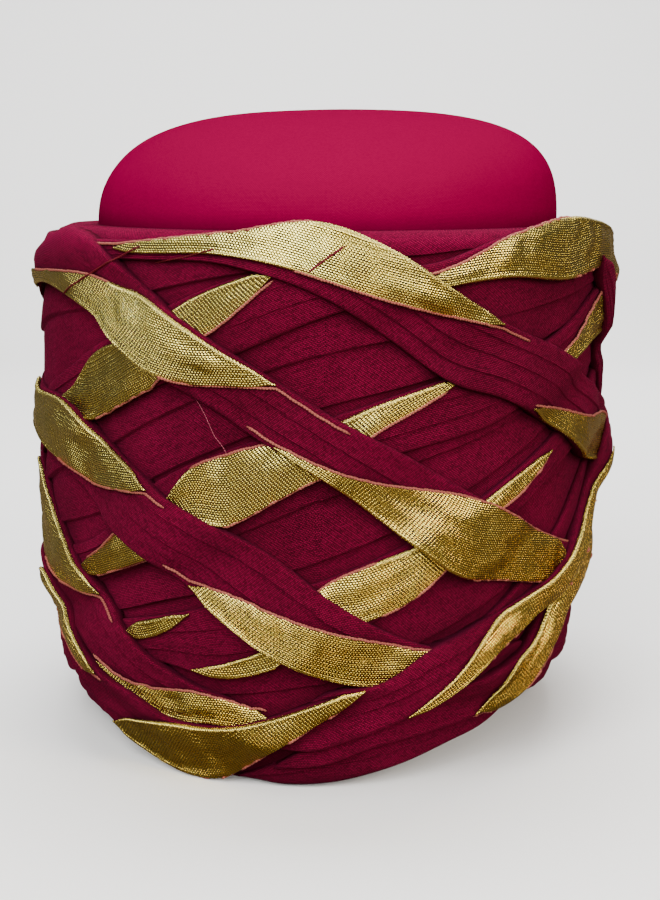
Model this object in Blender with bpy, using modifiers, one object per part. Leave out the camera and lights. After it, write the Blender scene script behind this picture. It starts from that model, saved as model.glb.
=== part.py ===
"""Tied turban: a domed cloth cap in a thick winding, crossed by folded strips faced with gold tape.

Metres, +Z up, the front towards -Y. The turban stands on the flat lower rim of its winding at z = 0.
Every piece is lofted through vertical sections that stand at the same azimuths round the turban.
"""

import math
from collections import namedtuple

import bmesh
import bpy
import numpy as np

COLLECTION_NAME = "tied_turban"

# The winding
WRAP_HEIGHT = 0.196
WRAP_HALF_WIDTH = 0.1105
WRAP_LEAN = 0.004
AXIS_SHIFT = -0.0017
FOLD_RELIEF = 0.0012
RIM_ROUNDING = 0.0035

# The cap and the head hollow
HEAD_HALF_WIDTH = 0.083
CAP_WALL = 0.002
CAP_HALF_WIDTH = 0.091
CAP_RISE = 0.045
CAP_RECESS = 0.003

# Half depth, front to back, less half width, for every section of the turban
EXTRA_DEPTH = 0.0135

# The strips and their gold tape
STRIP_THICKNESS = 0.002
STRIP_EDGE = 0.001
GOLD_THICKNESS = 0.0008
GOLD_LEAST_WIDTH = 0.002
CLEARANCE = 0.0004
EDGE_MARGIN = 0.0015
LIFT_ROUNDS = 40

# Azimuths of the sections, in degrees from the front towards +X, closer together on the front half
FRONT_STEP = 7.5
BACK_STEP = 12.0
FULL_TURN = 360.0

# Girth of the winding's outside, as shares of WRAP_HALF_WIDTH, at heights as shares of WRAP_HEIGHT
Girth = namedtuple("Girth", "height share")
GIRTHS = [
    Girth(0.00, 0.835),
    Girth(0.05, 0.875),
    Girth(0.13, 0.915),
    Girth(0.28, 0.950),
    Girth(0.50, 0.965),
    Girth(0.75, 0.975),
    Girth(0.90, 0.998),
    Girth(1.00, 0.990),
    Girth(1.06, 0.975),
]

# The winding's lower edge rises clear of the floor at the front corners: heights as shares of WRAP_HEIGHT
Lift = namedtuple("Lift", "azimuth share")
RIM_LIFTS = [
    Lift(-90, 0.00),
    Lift(-75, 0.02),
    Lift(-60, 0.04),
    Lift(-45, 0.035),
    Lift(-22.5, 0.00),
    Lift(0, 0.00),
    Lift(15, 0.02),
    Lift(30, 0.05),
    Lift(45, 0.075),
    Lift(60, 0.075),
    Lift(75, 0.045),
    Lift(90, 0.00),
]

# Rows up the winding between its rim and its top
CORE_ROWS = (0.0, 0.04, 0.12, 0.24, 0.40, 0.55, 0.70, 0.83, 0.93, 0.98)

# The winding's own folds: how many run up its height and how many meet one level line round it
FOLDS_UP = 3
FOLDS_ROUND = 5

# The cap's dome: rows up it, and how square its shoulder is at the sides and front
DOME_STEPS = 6
SIDE_SQUARENESS = 3.0
FRONT_SQUARENESS = 2.2

# Strips run round the turban. Each row gives the heights of the lower and upper edge at one azimuth,
# as shares of WRAP_HEIGHT. A ring closes on itself; the others start and end at their outer rows.
Edge = namedtuple("Edge", "azimuth low high")
# Gold facings lie on a strip. Their edges are shares of the strip's width, from its lower edge up.
Strip = namedtuple("Strip", "name ring edges facings")

STRIPS = [
    Strip(
        "rising_wrap_4", False,
        [(7.5, 0.10, 0.17), (15, 0.165, 0.245), (30, 0.23, 0.30), (45, 0.33, 0.40), (60, 0.42, 0.50),
         (80, 0.52, 0.60), (110, 0.50, 0.60), (145, 0.34, 0.46), (180, 0.17, 0.28), (222, 0.03, 0.11)],
        {"gold_rising_4": [(22.5, 0.0, 0.3), (30, 0.0, 0.45), (37.5, 0.0, 0.3)]},
    ),
    Strip(
        "rising_wrap_3", True,
        [(-90, 0.08, 0.17), (-60, 0.13, 0.22), (-45, 0.19, 0.27), (-30, 0.22, 0.31), (-15, 0.215, 0.355),
         (0, 0.275, 0.40), (15, 0.36, 0.465), (30, 0.45, 0.54), (45, 0.54, 0.615), (60, 0.60, 0.68),
         (80, 0.65, 0.73), (110, 0.62, 0.72), (145, 0.48, 0.60), (180, 0.31, 0.43), (225, 0.14, 0.25)],
        {"gold_rising_3_left": [(-37.5, 0.5, 0.9), (-30, 0.6, 0.95), (-22.5, 0.9, 1.0)],
         "gold_rising_3": [(-22.5, 0.0, 0.1), (-15, 0.0, 0.22), (-7.5, 0.0, 0.36), (0, 0.3, 0.9),
                           (7.5, 0.1, 0.97), (15, 0.0, 0.9), (22.5, 0.2, 0.8), (30, 0.5, 0.95),
                           (37.5, 0.5, 0.92), (45, 0.7, 0.85)],
         "gold_rising_3_back": [(150, 0.1, 0.4), (165, 0.0, 0.9), (185, 0.0, 1.0), (204, 0.6, 0.9)]},
    ),
    Strip(
        "rising_wrap_2", True,
        [(-90, 0.25, 0.34), (-60, 0.31, 0.385), (-45, 0.36, 0.44), (-30, 0.42, 0.555), (-15, 0.495, 0.63),
         (0, 0.585, 0.685), (15, 0.63, 0.735), (30, 0.665, 0.77), (45, 0.73, 0.81), (60, 0.785, 0.875),
         (75, 0.80, 0.90), (100, 0.76, 0.87), (140, 0.63, 0.75), (180, 0.45, 0.58), (225, 0.29, 0.40)],
        {"gold_rising_2": [(-52.5, 0.2, 0.5), (-45, 0.0, 0.6), (-37.5, 0.0, 0.7), (-30, 0.0, 0.5),
                           (-22.5, 0.25, 0.93), (-15, 0.0, 0.95), (0, 0.0, 0.85), (7.5, 0.45, 0.95),
                           (15, 0.68, 0.97), (22.5, 0.9, 1.0)],
         "gold_rising_2_right": [(45, 0.05, 0.4), (52.5, 0.0, 0.6), (60, 0.0, 0.85), (75, 0.0, 0.9),
                                 (90, 0.1, 0.6)],
         "gold_rising_2_back": [(126, 0.3, 0.6), (140, 0.0, 0.9), (160, 0.0, 0.8), (174, 0.1, 0.3)]},
    ),
    Strip(
        "rising_wrap_1", True,
        [(-90, 0.50, 0.60), (-60, 0.62, 0.72), (-45, 0.655, 0.79), (-30, 0.725, 0.855), (-15, 0.79, 0.92),
         (0, 0.86, 0.955), (15, 0.90, 0.945), (30, 0.92, 0.99), (45, 0.91, 1.02), (60, 0.925, 1.01),
         (90, 0.87, 0.96), (130, 0.86, 0.97), (180, 0.73, 0.86), (230, 0.56, 0.68)],
        {"gold_rising_1": [(-60, 0.3, 0.5), (-52.5, 0.1, 0.6), (-45, 0.0, 0.85), (-30, 0.0, 0.8),
                           (-22.5, 0.3, 0.93), (-15, 0.5, 0.97), (-7.5, 0.85, 1.0)],
         "gold_rising_1_right": [(15, 0.0, 0.6), (22.5, 0.0, 0.8), (30, 0.0, 1.0), (60, 0.0, 1.0),
                                 (90, 0.0, 1.0), (102, 0.3, 0.8)],
         "gold_rising_1_back": [(198, 0.5, 0.8), (210, 0.1, 1.0), (225, 0.0, 0.9), (246, 0.1, 0.3)]},
    ),
    Strip(
        "falling_wrap_0", False,
        [(45, 0.93, 0.985), (60, 0.87, 0.965), (70, 0.75, 0.90), (80, 0.60, 0.78), (95, 0.44, 0.60),
         (120, 0.26, 0.40), (145, 0.12, 0.24), (162, 0.02, 0.11)],
        {"gold_falling_0": [(102, 0.6, 0.9), (114, 0.2, 1.0), (130, 0.0, 0.9), (150, 0.0, 0.3)]},
    ),
    Strip(
        "falling_wrap_1", True,
        [(-90, 0.93, 0.985), (-60, 0.935, 0.985), (-30, 0.95, 0.985), (-15, 0.945, 1.0), (0, 0.89, 1.015),
         (10, 0.82, 0.97), (20, 0.745, 0.90), (30, 0.71, 0.845), (45, 0.64, 0.785), (60, 0.565, 0.72),
         (75, 0.53, 0.66), (100, 0.48, 0.60), (135, 0.54, 0.66), (180, 0.71, 0.84), (225, 0.86, 0.97)],
        {"gold_falling_1": [(-37.5, 0.4, 0.8), (-30, 0.35, 0.95), (-15, 0.3, 1.0), (0, 0.25, 1.0),
                            (10, 0.43, 1.0), (20, 0.72, 1.0), (30, 0.9, 1.0)],
         "gold_falling_1_right": [(37.5, 0.0, 0.1), (45, 0.0, 0.25), (60, 0.0, 0.5), (75, 0.0, 0.75),
                                  (90, 0.0, 0.6), (102, 0.0, 0.2)],
         "gold_falling_1_back": [(150, 0.3, 0.6), (170, 0.0, 0.9), (190, 0.1, 1.0), (210, 0.6, 1.0)]},
    ),
    Strip(
        "falling_wrap_2", True,
        [(-90, 0.84, 0.95), (-70, 0.89, 0.96), (-50, 0.875, 1.0), (-43, 0.85, 0.98), (-30, 0.765, 0.90),
         (-15, 0.68, 0.80), (0, 0.585, 0.70), (15, 0.46, 0.61), (22, 0.405, 0.565), (35, 0.37, 0.49),
         (50, 0.34, 0.42), (75, 0.28, 0.38), (105, 0.25, 0.36), (140, 0.33, 0.45), (180, 0.48, 0.61),
         (225, 0.67, 0.81)],
        {"gold_falling_2_top": [(-60, 0.1, 0.25), (-52.5, 0.0, 0.35), (-45, 0.0, 0.5), (-37, 0.0, 0.7),
                                (-30, 0.0, 0.93), (-22.5, 0.15, 0.95), (-15, 0.5, 0.95), (-7.5, 0.9, 1.0)],
         "gold_falling_2": [(-7.5, 0.0, 0.1), (0, 0.0, 0.2), (7.5, 0.0, 0.42), (15, 0.0, 0.68),
                            (22.5, 0.0, 0.9), (30, 0.0, 1.0), (52.5, 0.0, 1.0)],
         "gold_falling_2_back": [(126, 0.2, 0.5), (140, 0.0, 1.0), (160, 0.0, 1.0), (186, 0.5, 0.9)]},
    ),
    Strip(
        "falling_wrap_3", True,
        [(-90, 0.60, 0.70), (-70, 0.59, 0.69), (-54, 0.53, 0.68), (-38, 0.455, 0.595), (-22, 0.37, 0.515),
         (-9, 0.275, 0.45), (5, 0.21, 0.345), (15, 0.205, 0.285), (35, 0.175, 0.245), (60, 0.14, 0.22),
         (100, 0.10, 0.21), (140, 0.15, 0.26), (180, 0.28, 0.40), (225, 0.45, 0.58)],
        {"gold_falling_3_left": [(-90, 0.2, 0.6), (-82.5, 0.0, 0.9), (-64, 0.0, 0.95), (-54, 0.13, 1.0),
                                 (-45, 0.3, 1.0), (-37.5, 0.6, 1.0), (-30, 0.9, 1.0)],
         "gold_falling_3": [(-22.5, 0.0, 0.1), (-15, 0.0, 0.35), (-7.5, 0.0, 0.47), (0, 0.0, 0.6),
                            (7.5, 0.0, 0.75), (22.5, 0.0, 1.0)],
         "gold_falling_3_back": [(162, 0.1, 0.4), (180, 0.0, 1.0), (205, 0.1, 1.0), (222, 0.7, 1.0)]},
    ),
    Strip(
        "falling_wrap_4", False,
        [(-210, 0.02, 0.12), (-180, 0.12, 0.23), (-135, 0.26, 0.39), (-90, 0.43, 0.57),
         (-75, 0.365, 0.525), (-60, 0.28, 0.415), (-45, 0.19, 0.33), (-30, 0.12, 0.225),
         (-15, 0.12, 0.17), (-7.5, 0.11, 0.15)],
        {"gold_falling_4_left": [(-90, 0.1, 0.5), (-82.5, 0.0, 0.8), (-75, 0.0, 1.0), (-64, 0.15, 1.0),
                                 (-52.5, 0.6, 1.0), (-45, 0.9, 1.0)],
         "gold_falling_4": [(-45, 0.0, 0.08), (-37.5, 0.0, 0.2), (-30, 0.0, 0.5), (-22.5, 0.0, 0.85),
                            (-7.5, 0.0, 1.0)],
         "gold_falling_4_back": [(-174, 0.2, 0.5), (-155, 0.0, 1.0), (-130, 0.1, 1.0), (-114, 0.6, 0.9)]},
    ),
    Strip(
        "sweeping_wrap_3", False,
        [(-15, 0.006, 0.02), (-7.5, 0.006, 0.05), (2, 0.01, 0.085), (15, 0.035, 0.105),
         (26, 0.065, 0.125), (35, 0.085, 0.155), (48, 0.165, 0.235), (60, 0.255, 0.325), (75, 0.355, 0.43),
         (95, 0.41, 0.49), (120, 0.31, 0.41), (150, 0.16, 0.27), (174, 0.02, 0.13)],
        {"gold_sweeping_3": [(37.5, 0.2, 0.5), (45, 0.2, 1.0), (60, 0.1, 1.0), (75, 0.0, 0.3)]},
    ),
    Strip(
        "sweeping_wrap_2", False,
        [(-7.5, 0.03, 0.06), (2, 0.055, 0.11), (10, 0.085, 0.14), (20, 0.10, 0.18), (30, 0.112, 0.20),
         (36, 0.125, 0.212), (41, 0.155, 0.23), (50, 0.235, 0.305), (60, 0.315, 0.38),
         (75, 0.44, 0.51), (95, 0.49, 0.57), (120, 0.41, 0.50), (150, 0.26, 0.37), (180, 0.12, 0.22),
         (198, 0.02, 0.12)],
        {"gold_sweeping_2": [(30, 0.0, 0.15), (37.5, 0.0, 0.95), (45, 0.0, 1.0), (60, 0.0, 1.0),
                             (75, 0.0, 0.5), (90, 0.0, 0.2)]},
    ),
    Strip(
        "sweeping_wrap_1", False,
        [(-7.5, 0.05, 0.14), (2, 0.092, 0.195), (10, 0.122, 0.213), (18, 0.155, 0.265), (25, 0.197, 0.285),
         (33, 0.252, 0.313), (40, 0.28, 0.337), (48, 0.315, 0.372), (57, 0.38, 0.435), (75, 0.51, 0.57),
         (95, 0.57, 0.65), (120, 0.52, 0.62), (150, 0.38, 0.50), (180, 0.24, 0.36), (222, 0.03, 0.13)],
        {"gold_sweeping_1": [(15, 0.0, 0.08), (22.5, 0.0, 0.3), (33, 0.0, 0.97), (54, 0.0, 1.0),
                             (67.5, 0.0, 0.6), (82.5, 0.0, 0.1)],
         "gold_sweeping_1_back": [(138, 0.6, 0.9), (150, 0.1, 1.0), (170, 0.0, 0.9), (186, 0.0, 0.3)]},
    ),
    Strip(
        "falling_wrap_5", False,
        [(-150, 0.02, 0.10), (-130, 0.09, 0.19), (-105, 0.18, 0.28), (-85, 0.24, 0.35), (-70, 0.235, 0.34),
         (-60, 0.18, 0.285), (-47, 0.07, 0.19), (-37, 0.03, 0.155), (-27, 0.006, 0.12), (-18, 0.01, 0.12),
         (-8, 0.08, 0.145), (0, 0.14, 0.18), (7.5, 0.195, 0.215)],
        {"gold_falling_5_left": [(-75, 0.1, 0.5), (-67.5, 0.15, 0.95), (-60, 0.3, 1.0), (-52.5, 0.6, 1.0),
                                 (-45, 0.85, 1.0)],
         "gold_falling_5": [(-45, 0.0, 0.12), (-37.5, 0.0, 0.5), (-27, 0.0, 0.95), (-18, 0.0, 1.0),
                            (7.5, 0.0, 1.0)]},
    ),
]

MAROON = (0.155, 0.004, 0.028)
CRIMSON = (0.42, 0.006, 0.075)
GOLD = (0.78, 0.55, 0.16)


def station_azimuths():
    """The azimuths of the sections, from the left side round the front, right side and back."""
    front = np.arange(-FULL_TURN / 4, FULL_TURN / 4, FRONT_STEP)
    back = np.arange(FULL_TURN / 4, FULL_TURN * 3 / 4, BACK_STEP)
    return np.concatenate([front, back])


AZIMUTHS = station_azimuths()
COUNT = len(AZIMUTHS)


def azimuth_of(station):
    """The azimuth of a station, counted on past a full turn or below zero."""
    turns, place = divmod(station, COUNT)
    return AZIMUTHS[place] + FULL_TURN * turns


def stations_within(first, last):
    """The stations from one azimuth to another."""
    return [step for step in range(-COUNT, 2 * COUNT) if first - 1e-6 <= azimuth_of(step) <= last + 1e-6]


def smooth(where, places, values, period=None):
    """A smooth curve through the values at rising places, closed on itself if it has a period."""
    places = np.asarray(places, dtype=float)
    values = np.asarray(values, dtype=float)
    if period is not None:
        places = np.concatenate([places[-2:] - period, places, places[:2] + period])
        values = np.concatenate([values[-2:], values, values[:2]])
        where = places[1] + (where - places[1]) % period
    slopes = np.gradient(values, places)
    at = int(np.clip(np.searchsorted(places, where) - 1, 0, len(places) - 2))
    span = places[at + 1] - places[at]
    share = min(max((where - places[at]) / span, 0.0), 1.0)
    rest = 1 - share
    start = values[at] * (1 + 2 * share) + slopes[at] * span * share
    end = values[at + 1] * (1 + 2 * rest) - slopes[at + 1] * span * rest
    return start * rest**2 + end * share**2


def oval_radius(azimuth, half_width):
    """Distance from the axis to an oval of this half width, deeper than wide by EXTRA_DEPTH."""
    turn = math.radians(azimuth)
    across = math.sin(turn) / half_width
    along = math.cos(turn) / (half_width + EXTRA_DEPTH)
    return 1 / math.hypot(across, along)


def rim_height(azimuth):
    """Height of the winding's lower edge in metres."""
    turned = (azimuth + FULL_TURN / 2) % FULL_TURN - FULL_TURN / 2
    share = np.interp(turned, [row.azimuth for row in RIM_LIFTS], [row.share for row in RIM_LIFTS])
    return float(share) * WRAP_HEIGHT


def wrap_radius(azimuth, height):
    """Distance from the axis to the outside of the winding at a height in metres."""
    rim = rim_height(azimuth)
    climb = max(height - rim, 0.0) / (WRAP_HEIGHT - rim)
    share = np.interp(climb, [row.height for row in GIRTHS], [row.share for row in GIRTHS])
    return oval_radius(azimuth, WRAP_HALF_WIDTH * share)


def point(azimuth, radius, height):
    """A point in space. The axis leans to the left towards the floor, and the origin is mid-way under it."""
    turn = math.radians(azimuth)
    axis = AXIS_SHIFT - WRAP_LEAN * (1 - min(height / WRAP_HEIGHT, 1.0))
    return (axis + radius * math.sin(turn), -radius * math.cos(turn), height)


def cloth(name, colour, roughness, metallic=0.0):
    """A plain material for one piece."""
    material = bpy.data.materials.new(name)
    material.use_nodes = True
    shader = material.node_tree.nodes["Principled BSDF"]
    shader.inputs["Base Color"].default_value = (*colour, 1.0)
    shader.inputs["Roughness"].default_value = roughness
    shader.inputs["Metallic"].default_value = metallic
    return material


def add_object(name, mesh_data, material, collection):
    """A named object for a finished bmesh."""
    mesh = bpy.data.meshes.new(name)
    mesh_data.to_mesh(mesh)
    mesh_data.free()
    mesh.materials.append(material)
    mesh.shade_smooth()
    mesh.set_sharp_from_angle(angle=math.radians(40))
    piece = bpy.data.objects.new(name, mesh)
    collection.objects.link(piece)
    return piece


def loft(sections, ring):
    """A closed skin through sections with equal numbers of points, as a ring or with flat ends."""
    data = bmesh.new()
    rows = [[data.verts.new(place) for place in section] for section in sections]
    size = len(rows[0])
    for here, there in zip(rows, rows[1:] + rows[:1] if ring else rows[1:]):
        for low in range(size):
            high = (low + 1) % size
            data.faces.new((here[low], there[low], there[high]))
            data.faces.new((here[low], there[high], here[high]))
    if not ring:
        data.faces.new(rows[0])
        data.faces.new(rows[-1][::-1])
    return data


class Layers:
    """The outer surfaces laid so far. Each holds, for each station, heights and radii from low to high."""

    def __init__(self):
        self.laid = []

    def lay(self, stations, lines):
        self.laid.append(dict(zip(stations, lines)))

    def lines_at(self, station, share):
        """Each surface's line, a share of the way from one station to the next, on its real triangles."""
        for surface in self.laid:
            for turn in (-COUNT, 0, COUNT):
                here = surface.get(station + turn)
                there = surface.get(station + turn + 1)
                if here is None or there is None:
                    continue
                line = np.empty((2 * len(here) - 1, 2))
                line[0::2] = here + (there - here) * share
                line[1::2] = here[:-1] + (there[1:] - here[:-1]) * share
                yield line

    def radii_at(self, station, share, heights):
        """The radius of what is laid so far at these heights, which holds a little past each edge."""
        radii = np.zeros(len(heights))
        for line in self.lines_at(station, share):
            ends = [line[0, 0] - EDGE_MARGIN, *line[:, 0], line[-1, 0] + EDGE_MARGIN]
            reach = [line[0, 1], *line[:, 1], line[-1, 1]]
            radii = np.maximum(radii, np.interp(heights, ends, reach, left=0.0, right=0.0))
        return radii


def corner_weights(share, places):
    """Weights of a quad's corners (here low, here high, there low, there high) on its two triangles."""
    weights = []
    for place in places:
        if share + place <= 1:
            weights.append((1 - share - place, place, share, 0.0))
        else:
            weights.append((0.0, 1 - share, 1 - place, share + place - 1))
    return np.array(weights)


PROBES = np.linspace(0.0, 1.0, 9)
QUAD_WEIGHTS = np.vstack([corner_weights(share, PROBES) for share in PROBES])


def lifts(stations, lines, layers, ring):
    """How far each point of the inner lines must move out, as a cloth pulled taut over what is below."""
    rows = len(lines[0])
    lift = np.zeros((len(stations), rows))
    quads = []
    for span in range(len(stations) if ring else len(stations) - 1):
        after = (span + 1) % len(stations)
        for row in range(rows - 1):
            corners = ([span, span, after, after], [row, row + 1, row, row + 1])
            places = QUAD_WEIGHTS @ np.array([lines[station][line] for station, line in zip(*corners)])
            under = [
                layers.radii_at(stations[span], share, places[first:first + len(PROBES), 0])
                for share, first in zip(PROBES, range(0, len(places), len(PROBES)))
            ]
            quads.append((corners, np.concatenate(under) - places[:, 1]))
    for _ in range(LIFT_ROUNDS):
        for corners, rises in quads:
            short = rises - QUAD_WEIGHTS @ lift[corners]
            worst = int(np.argmax(short))
            if short[worst] > 0:
                weights = QUAD_WEIGHTS[worst]
                lift[corners] += short[worst] * weights / np.sum(weights**2)
    return taut(lift, ring) + CLEARANCE


def taut(lift, ring):
    """The lift with short dips bridged, because cloth under tension doesn't follow them."""
    for _ in range(2):
        before = np.roll(lift, 1, axis=0)
        after = np.roll(lift, -1, axis=0)
        if not ring:
            before[0] = lift[0]
            after[-1] = lift[-1]
        lift = np.maximum(lift, (before + after) / 2)
    return lift


def lay_band(stations, edges, ring, thicknesses, layers):
    """Sections of a band between two edge heights at each station, laid over all that is there.

    thicknesses are those at even places across the band, from its lower edge to its upper edge.
    """
    inner_shares = np.linspace(0.0, 1.0, 3)
    outer_shares = np.linspace(0.0, 1.0, len(thicknesses))
    inner_lines = []
    for station, (low, high) in zip(stations, edges):
        heights = low + (high - low) * inner_shares
        radii = [wrap_radius(azimuth_of(station), height) for height in heights]
        inner_lines.append(np.column_stack([heights, radii]))
    lift = lifts(stations, inner_lines, layers, ring)
    sections = []
    outer_lines = []
    for place, station in enumerate(stations):
        inner = inner_lines[place].copy()
        inner[:, 1] += lift[place]
        heights = np.interp(outer_shares, inner_shares, inner[:, 0])
        radii = np.interp(outer_shares, inner_shares, inner[:, 1]) + thicknesses
        outer = np.column_stack([heights, radii])
        outer_lines.append(outer)
        loop = np.vstack([outer, inner[::-1]])
        sections.append([point(azimuth_of(station), radius, height) for height, radius in loop])
    layers.lay(stations, outer_lines)
    return sections


def strip_edges(strip, station):
    """The heights of a strip's lower and upper edge at a station, in metres."""
    rows = [Edge(*row) for row in strip.edges]
    period = FULL_TURN if strip.ring else None
    azimuth = azimuth_of(station)
    low = smooth(azimuth, [row.azimuth for row in rows], [row.low for row in rows], period)
    high = smooth(azimuth, [row.azimuth for row in rows], [row.high for row in rows], period)
    return low * WRAP_HEIGHT, high * WRAP_HEIGHT


def make_strip(strip, layers, collection):
    """One folded strip, thick along its middle and thin at its edges, and its gold facings."""
    if strip.ring:
        stations = list(range(COUNT))
    else:
        stations = stations_within(strip.edges[0][0], strip.edges[-1][0])
    edges = [strip_edges(strip, station) for station in stations]
    thicknesses = np.array([STRIP_EDGE, STRIP_THICKNESS, STRIP_THICKNESS, STRIP_EDGE])
    sections = lay_band(stations, edges, strip.ring, thicknesses, layers)
    material = cloth(f"{strip.name}_cloth", MAROON, 0.85)
    add_object(strip.name, loft(sections, strip.ring), material, collection)
    for name, rows in strip.facings.items():
        make_facing(name, [Edge(*row) for row in rows], strip, layers, collection)


def make_facing(name, rows, strip, layers, collection):
    """One stretch of gold tape on a strip."""
    stations = stations_within(rows[0].azimuth, rows[-1].azimuth)
    places = [row.azimuth for row in rows]
    edges = []
    for station in stations:
        low, high = strip_edges(strip, station)
        width = high - low
        start = np.interp(azimuth_of(station), places, [row.low for row in rows])
        end = np.interp(azimuth_of(station), places, [row.high for row in rows])
        tape = max((end - start) * width, GOLD_LEAST_WIDTH)
        middle = low + (start + end) / 2 * width
        middle = min(max(middle, low + tape / 2), high - tape / 2)
        edges.append((middle - tape / 2, middle + tape / 2))
    thicknesses = np.full(3, GOLD_THICKNESS)
    sections = lay_band(stations, edges, False, thicknesses, layers)
    material = cloth(f"{name}_tape", GOLD, 0.3, metallic=1.0)
    add_object(name, loft(sections, False), material, collection)


def cap_radius(azimuth, height):
    """Distance from the axis to the outside of the cap, at a height in metres."""
    if height <= WRAP_HEIGHT:
        half_width = np.interp(height, [0.0, WRAP_HEIGHT], [HEAD_HALF_WIDTH + CAP_WALL, CAP_HALF_WIDTH])
        return oval_radius(azimuth, half_width)
    share = (height - WRAP_HEIGHT) / CAP_RISE
    facing_front = max(math.cos(math.radians(azimuth)), 0.0)
    squareness = SIDE_SQUARENESS + (FRONT_SQUARENESS - SIDE_SQUARENESS) * facing_front
    return oval_radius(azimuth, CAP_HALF_WIDTH) * (1 - share**squareness) ** (1 / squareness)


def make_core(layers, collection):
    """The thick winding between the cap and the strips, with a few slanting folds of its own."""
    sections = []
    outer_lines = []
    for azimuth in AZIMUTHS:
        outer = []
        rim = rim_height(azimuth)
        for share in CORE_ROWS:
            height = rim + share * (WRAP_HEIGHT - rim)
            phase = math.tau * (FOLDS_UP * share - FOLDS_ROUND * azimuth / FULL_TURN)
            outer.append((height, wrap_radius(azimuth, height) - FOLD_RELIEF * (1 - math.cos(phase)) / 2))
        outer.append((WRAP_HEIGHT, wrap_radius(azimuth, WRAP_HEIGHT) - RIM_ROUNDING))
        inner = [(height, cap_radius(azimuth, height) + CLEARANCE) for height in (WRAP_HEIGHT, rim)]
        sections.append([point(azimuth, radius, height) for height, radius in outer + inner])
        outer_lines.append(np.array(outer))
    layers.lay(range(COUNT), outer_lines)
    add_object("wound_core", loft(sections, True), cloth("wound_core_cloth", MAROON, 0.9), collection)


def make_cap(collection):
    """The cap: one sheet from just above the winding's rim, up inside it and over the dome."""
    turns = [math.tau / 4 * step / (DOME_STEPS + 1) for step in range(DOME_STEPS + 1)]
    levels = [[rim_height(azimuth) + CAP_RECESS for azimuth in AZIMUTHS]]
    levels += [[WRAP_HEIGHT + CAP_RISE * math.sin(turn)] * COUNT for turn in turns]
    data = bmesh.new()
    rows = [
        [
            data.verts.new(point(azimuth, cap_radius(azimuth, height), height))
            for azimuth, height in zip(AZIMUTHS, level)
        ]
        for level in levels
    ]
    top = data.verts.new(point(0.0, 0.0, WRAP_HEIGHT + CAP_RISE))
    for lower, upper in zip(rows, rows[1:]):
        for here in range(COUNT):
            there = (here + 1) % COUNT
            data.faces.new((lower[here], lower[there], upper[there], upper[here]))
    for here in range(COUNT):
        data.faces.new((rows[-1][here], rows[-1][(here + 1) % COUNT], top))
    cap = add_object("crown_cap", data, cloth("crown_cap_cloth", CRIMSON, 0.8), collection)
    wall = cap.modifiers.new("cap_wall", "SOLIDIFY")
    wall.thickness = CAP_WALL
    wall.offset = -1.0
    wall.use_even_offset = True


def main():
    for old in list(bpy.data.objects):
        bpy.data.objects.remove(old, do_unlink=True)
    collection = bpy.data.collections.new(COLLECTION_NAME)
    bpy.context.scene.collection.children.link(collection)
    layers = Layers()
    make_cap(collection)
    make_core(layers, collection)
    for strip in STRIPS:
        make_strip(strip, layers, collection)


main()
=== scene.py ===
"""Looks of the tied turban: pleated cotton winding, folded strips, gold tape and the smooth cap."""

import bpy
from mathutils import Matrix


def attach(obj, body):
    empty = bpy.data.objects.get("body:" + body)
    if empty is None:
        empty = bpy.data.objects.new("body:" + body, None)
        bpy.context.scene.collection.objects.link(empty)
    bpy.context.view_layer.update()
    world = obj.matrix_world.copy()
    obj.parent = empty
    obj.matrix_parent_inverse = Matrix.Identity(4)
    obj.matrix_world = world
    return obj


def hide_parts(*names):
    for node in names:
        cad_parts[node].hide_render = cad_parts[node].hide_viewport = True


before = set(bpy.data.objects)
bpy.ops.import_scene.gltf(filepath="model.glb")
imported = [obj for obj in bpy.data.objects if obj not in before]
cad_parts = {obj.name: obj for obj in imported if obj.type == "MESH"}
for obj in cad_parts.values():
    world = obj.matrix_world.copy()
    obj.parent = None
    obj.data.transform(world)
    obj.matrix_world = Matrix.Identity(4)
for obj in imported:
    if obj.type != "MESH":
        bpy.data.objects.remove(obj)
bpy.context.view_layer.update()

import math
from collections import namedtuple

import bpy
import numpy as np
from mathutils import Vector

# Sizes in metres, as in the solid model but for a slightly lower cap
WRAP_HEIGHT = 0.196
WRAP_HALF_WIDTH = 0.1105
WRAP_LEAN = 0.004
AXIS_SHIFT = -0.0017
HEAD_HALF_WIDTH = 0.083
CAP_WALL = 0.002
CAP_HALF_WIDTH = 0.091
CAP_RISE = 0.0442
CAP_RECESS = 0.003
EXTRA_DEPTH = 0.0135
CAP_GAP = 0.0004
FULL_TURN = 360.0

# How square the cap's shoulder is at the sides and the front, and how much squarer on the right
SIDE_SQUARENESS = 3.0
FRONT_SQUARENESS = 2.2
SHOULDER_LEAN = 0.35

# The folded strips. PRESSED is how much thinner they get where the winding bulges most, and
# END_TAPER is over how many degrees an open end narrows.
STRIP_THICKNESS = 0.0014
STRIP_EDGE = 0.0004
EDGE_ROUNDING = 0.0015
PLEAT_RELIEF = 0.0008
PLEAT_WANDER = 0.05
WRINKLE_RELIEF = 0.0003
SLACK_RELIEF = 0.0003
PRESSED = 0.55
END_TAPER = 9.0

# The winding below them, its hem at the floor and the fine steps of its turns on top
CORE_PLEAT_RELIEF = 0.0023
CORE_SOFT_RELIEF = 0.0005
CORE_WRINKLE_RELIEF = 0.0003
CORE_WANDER = 0.04
CORE_CORNER = 0.006
CORE_PANEL_ROWS = 11
HEM_TUCK = 0.002
HEM_HEIGHT = 0.004
TOP_TURNS = 3.2
TOP_STEP = 0.0005

# The gap that every layer keeps to what is under it
GAP = 0.00015

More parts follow.
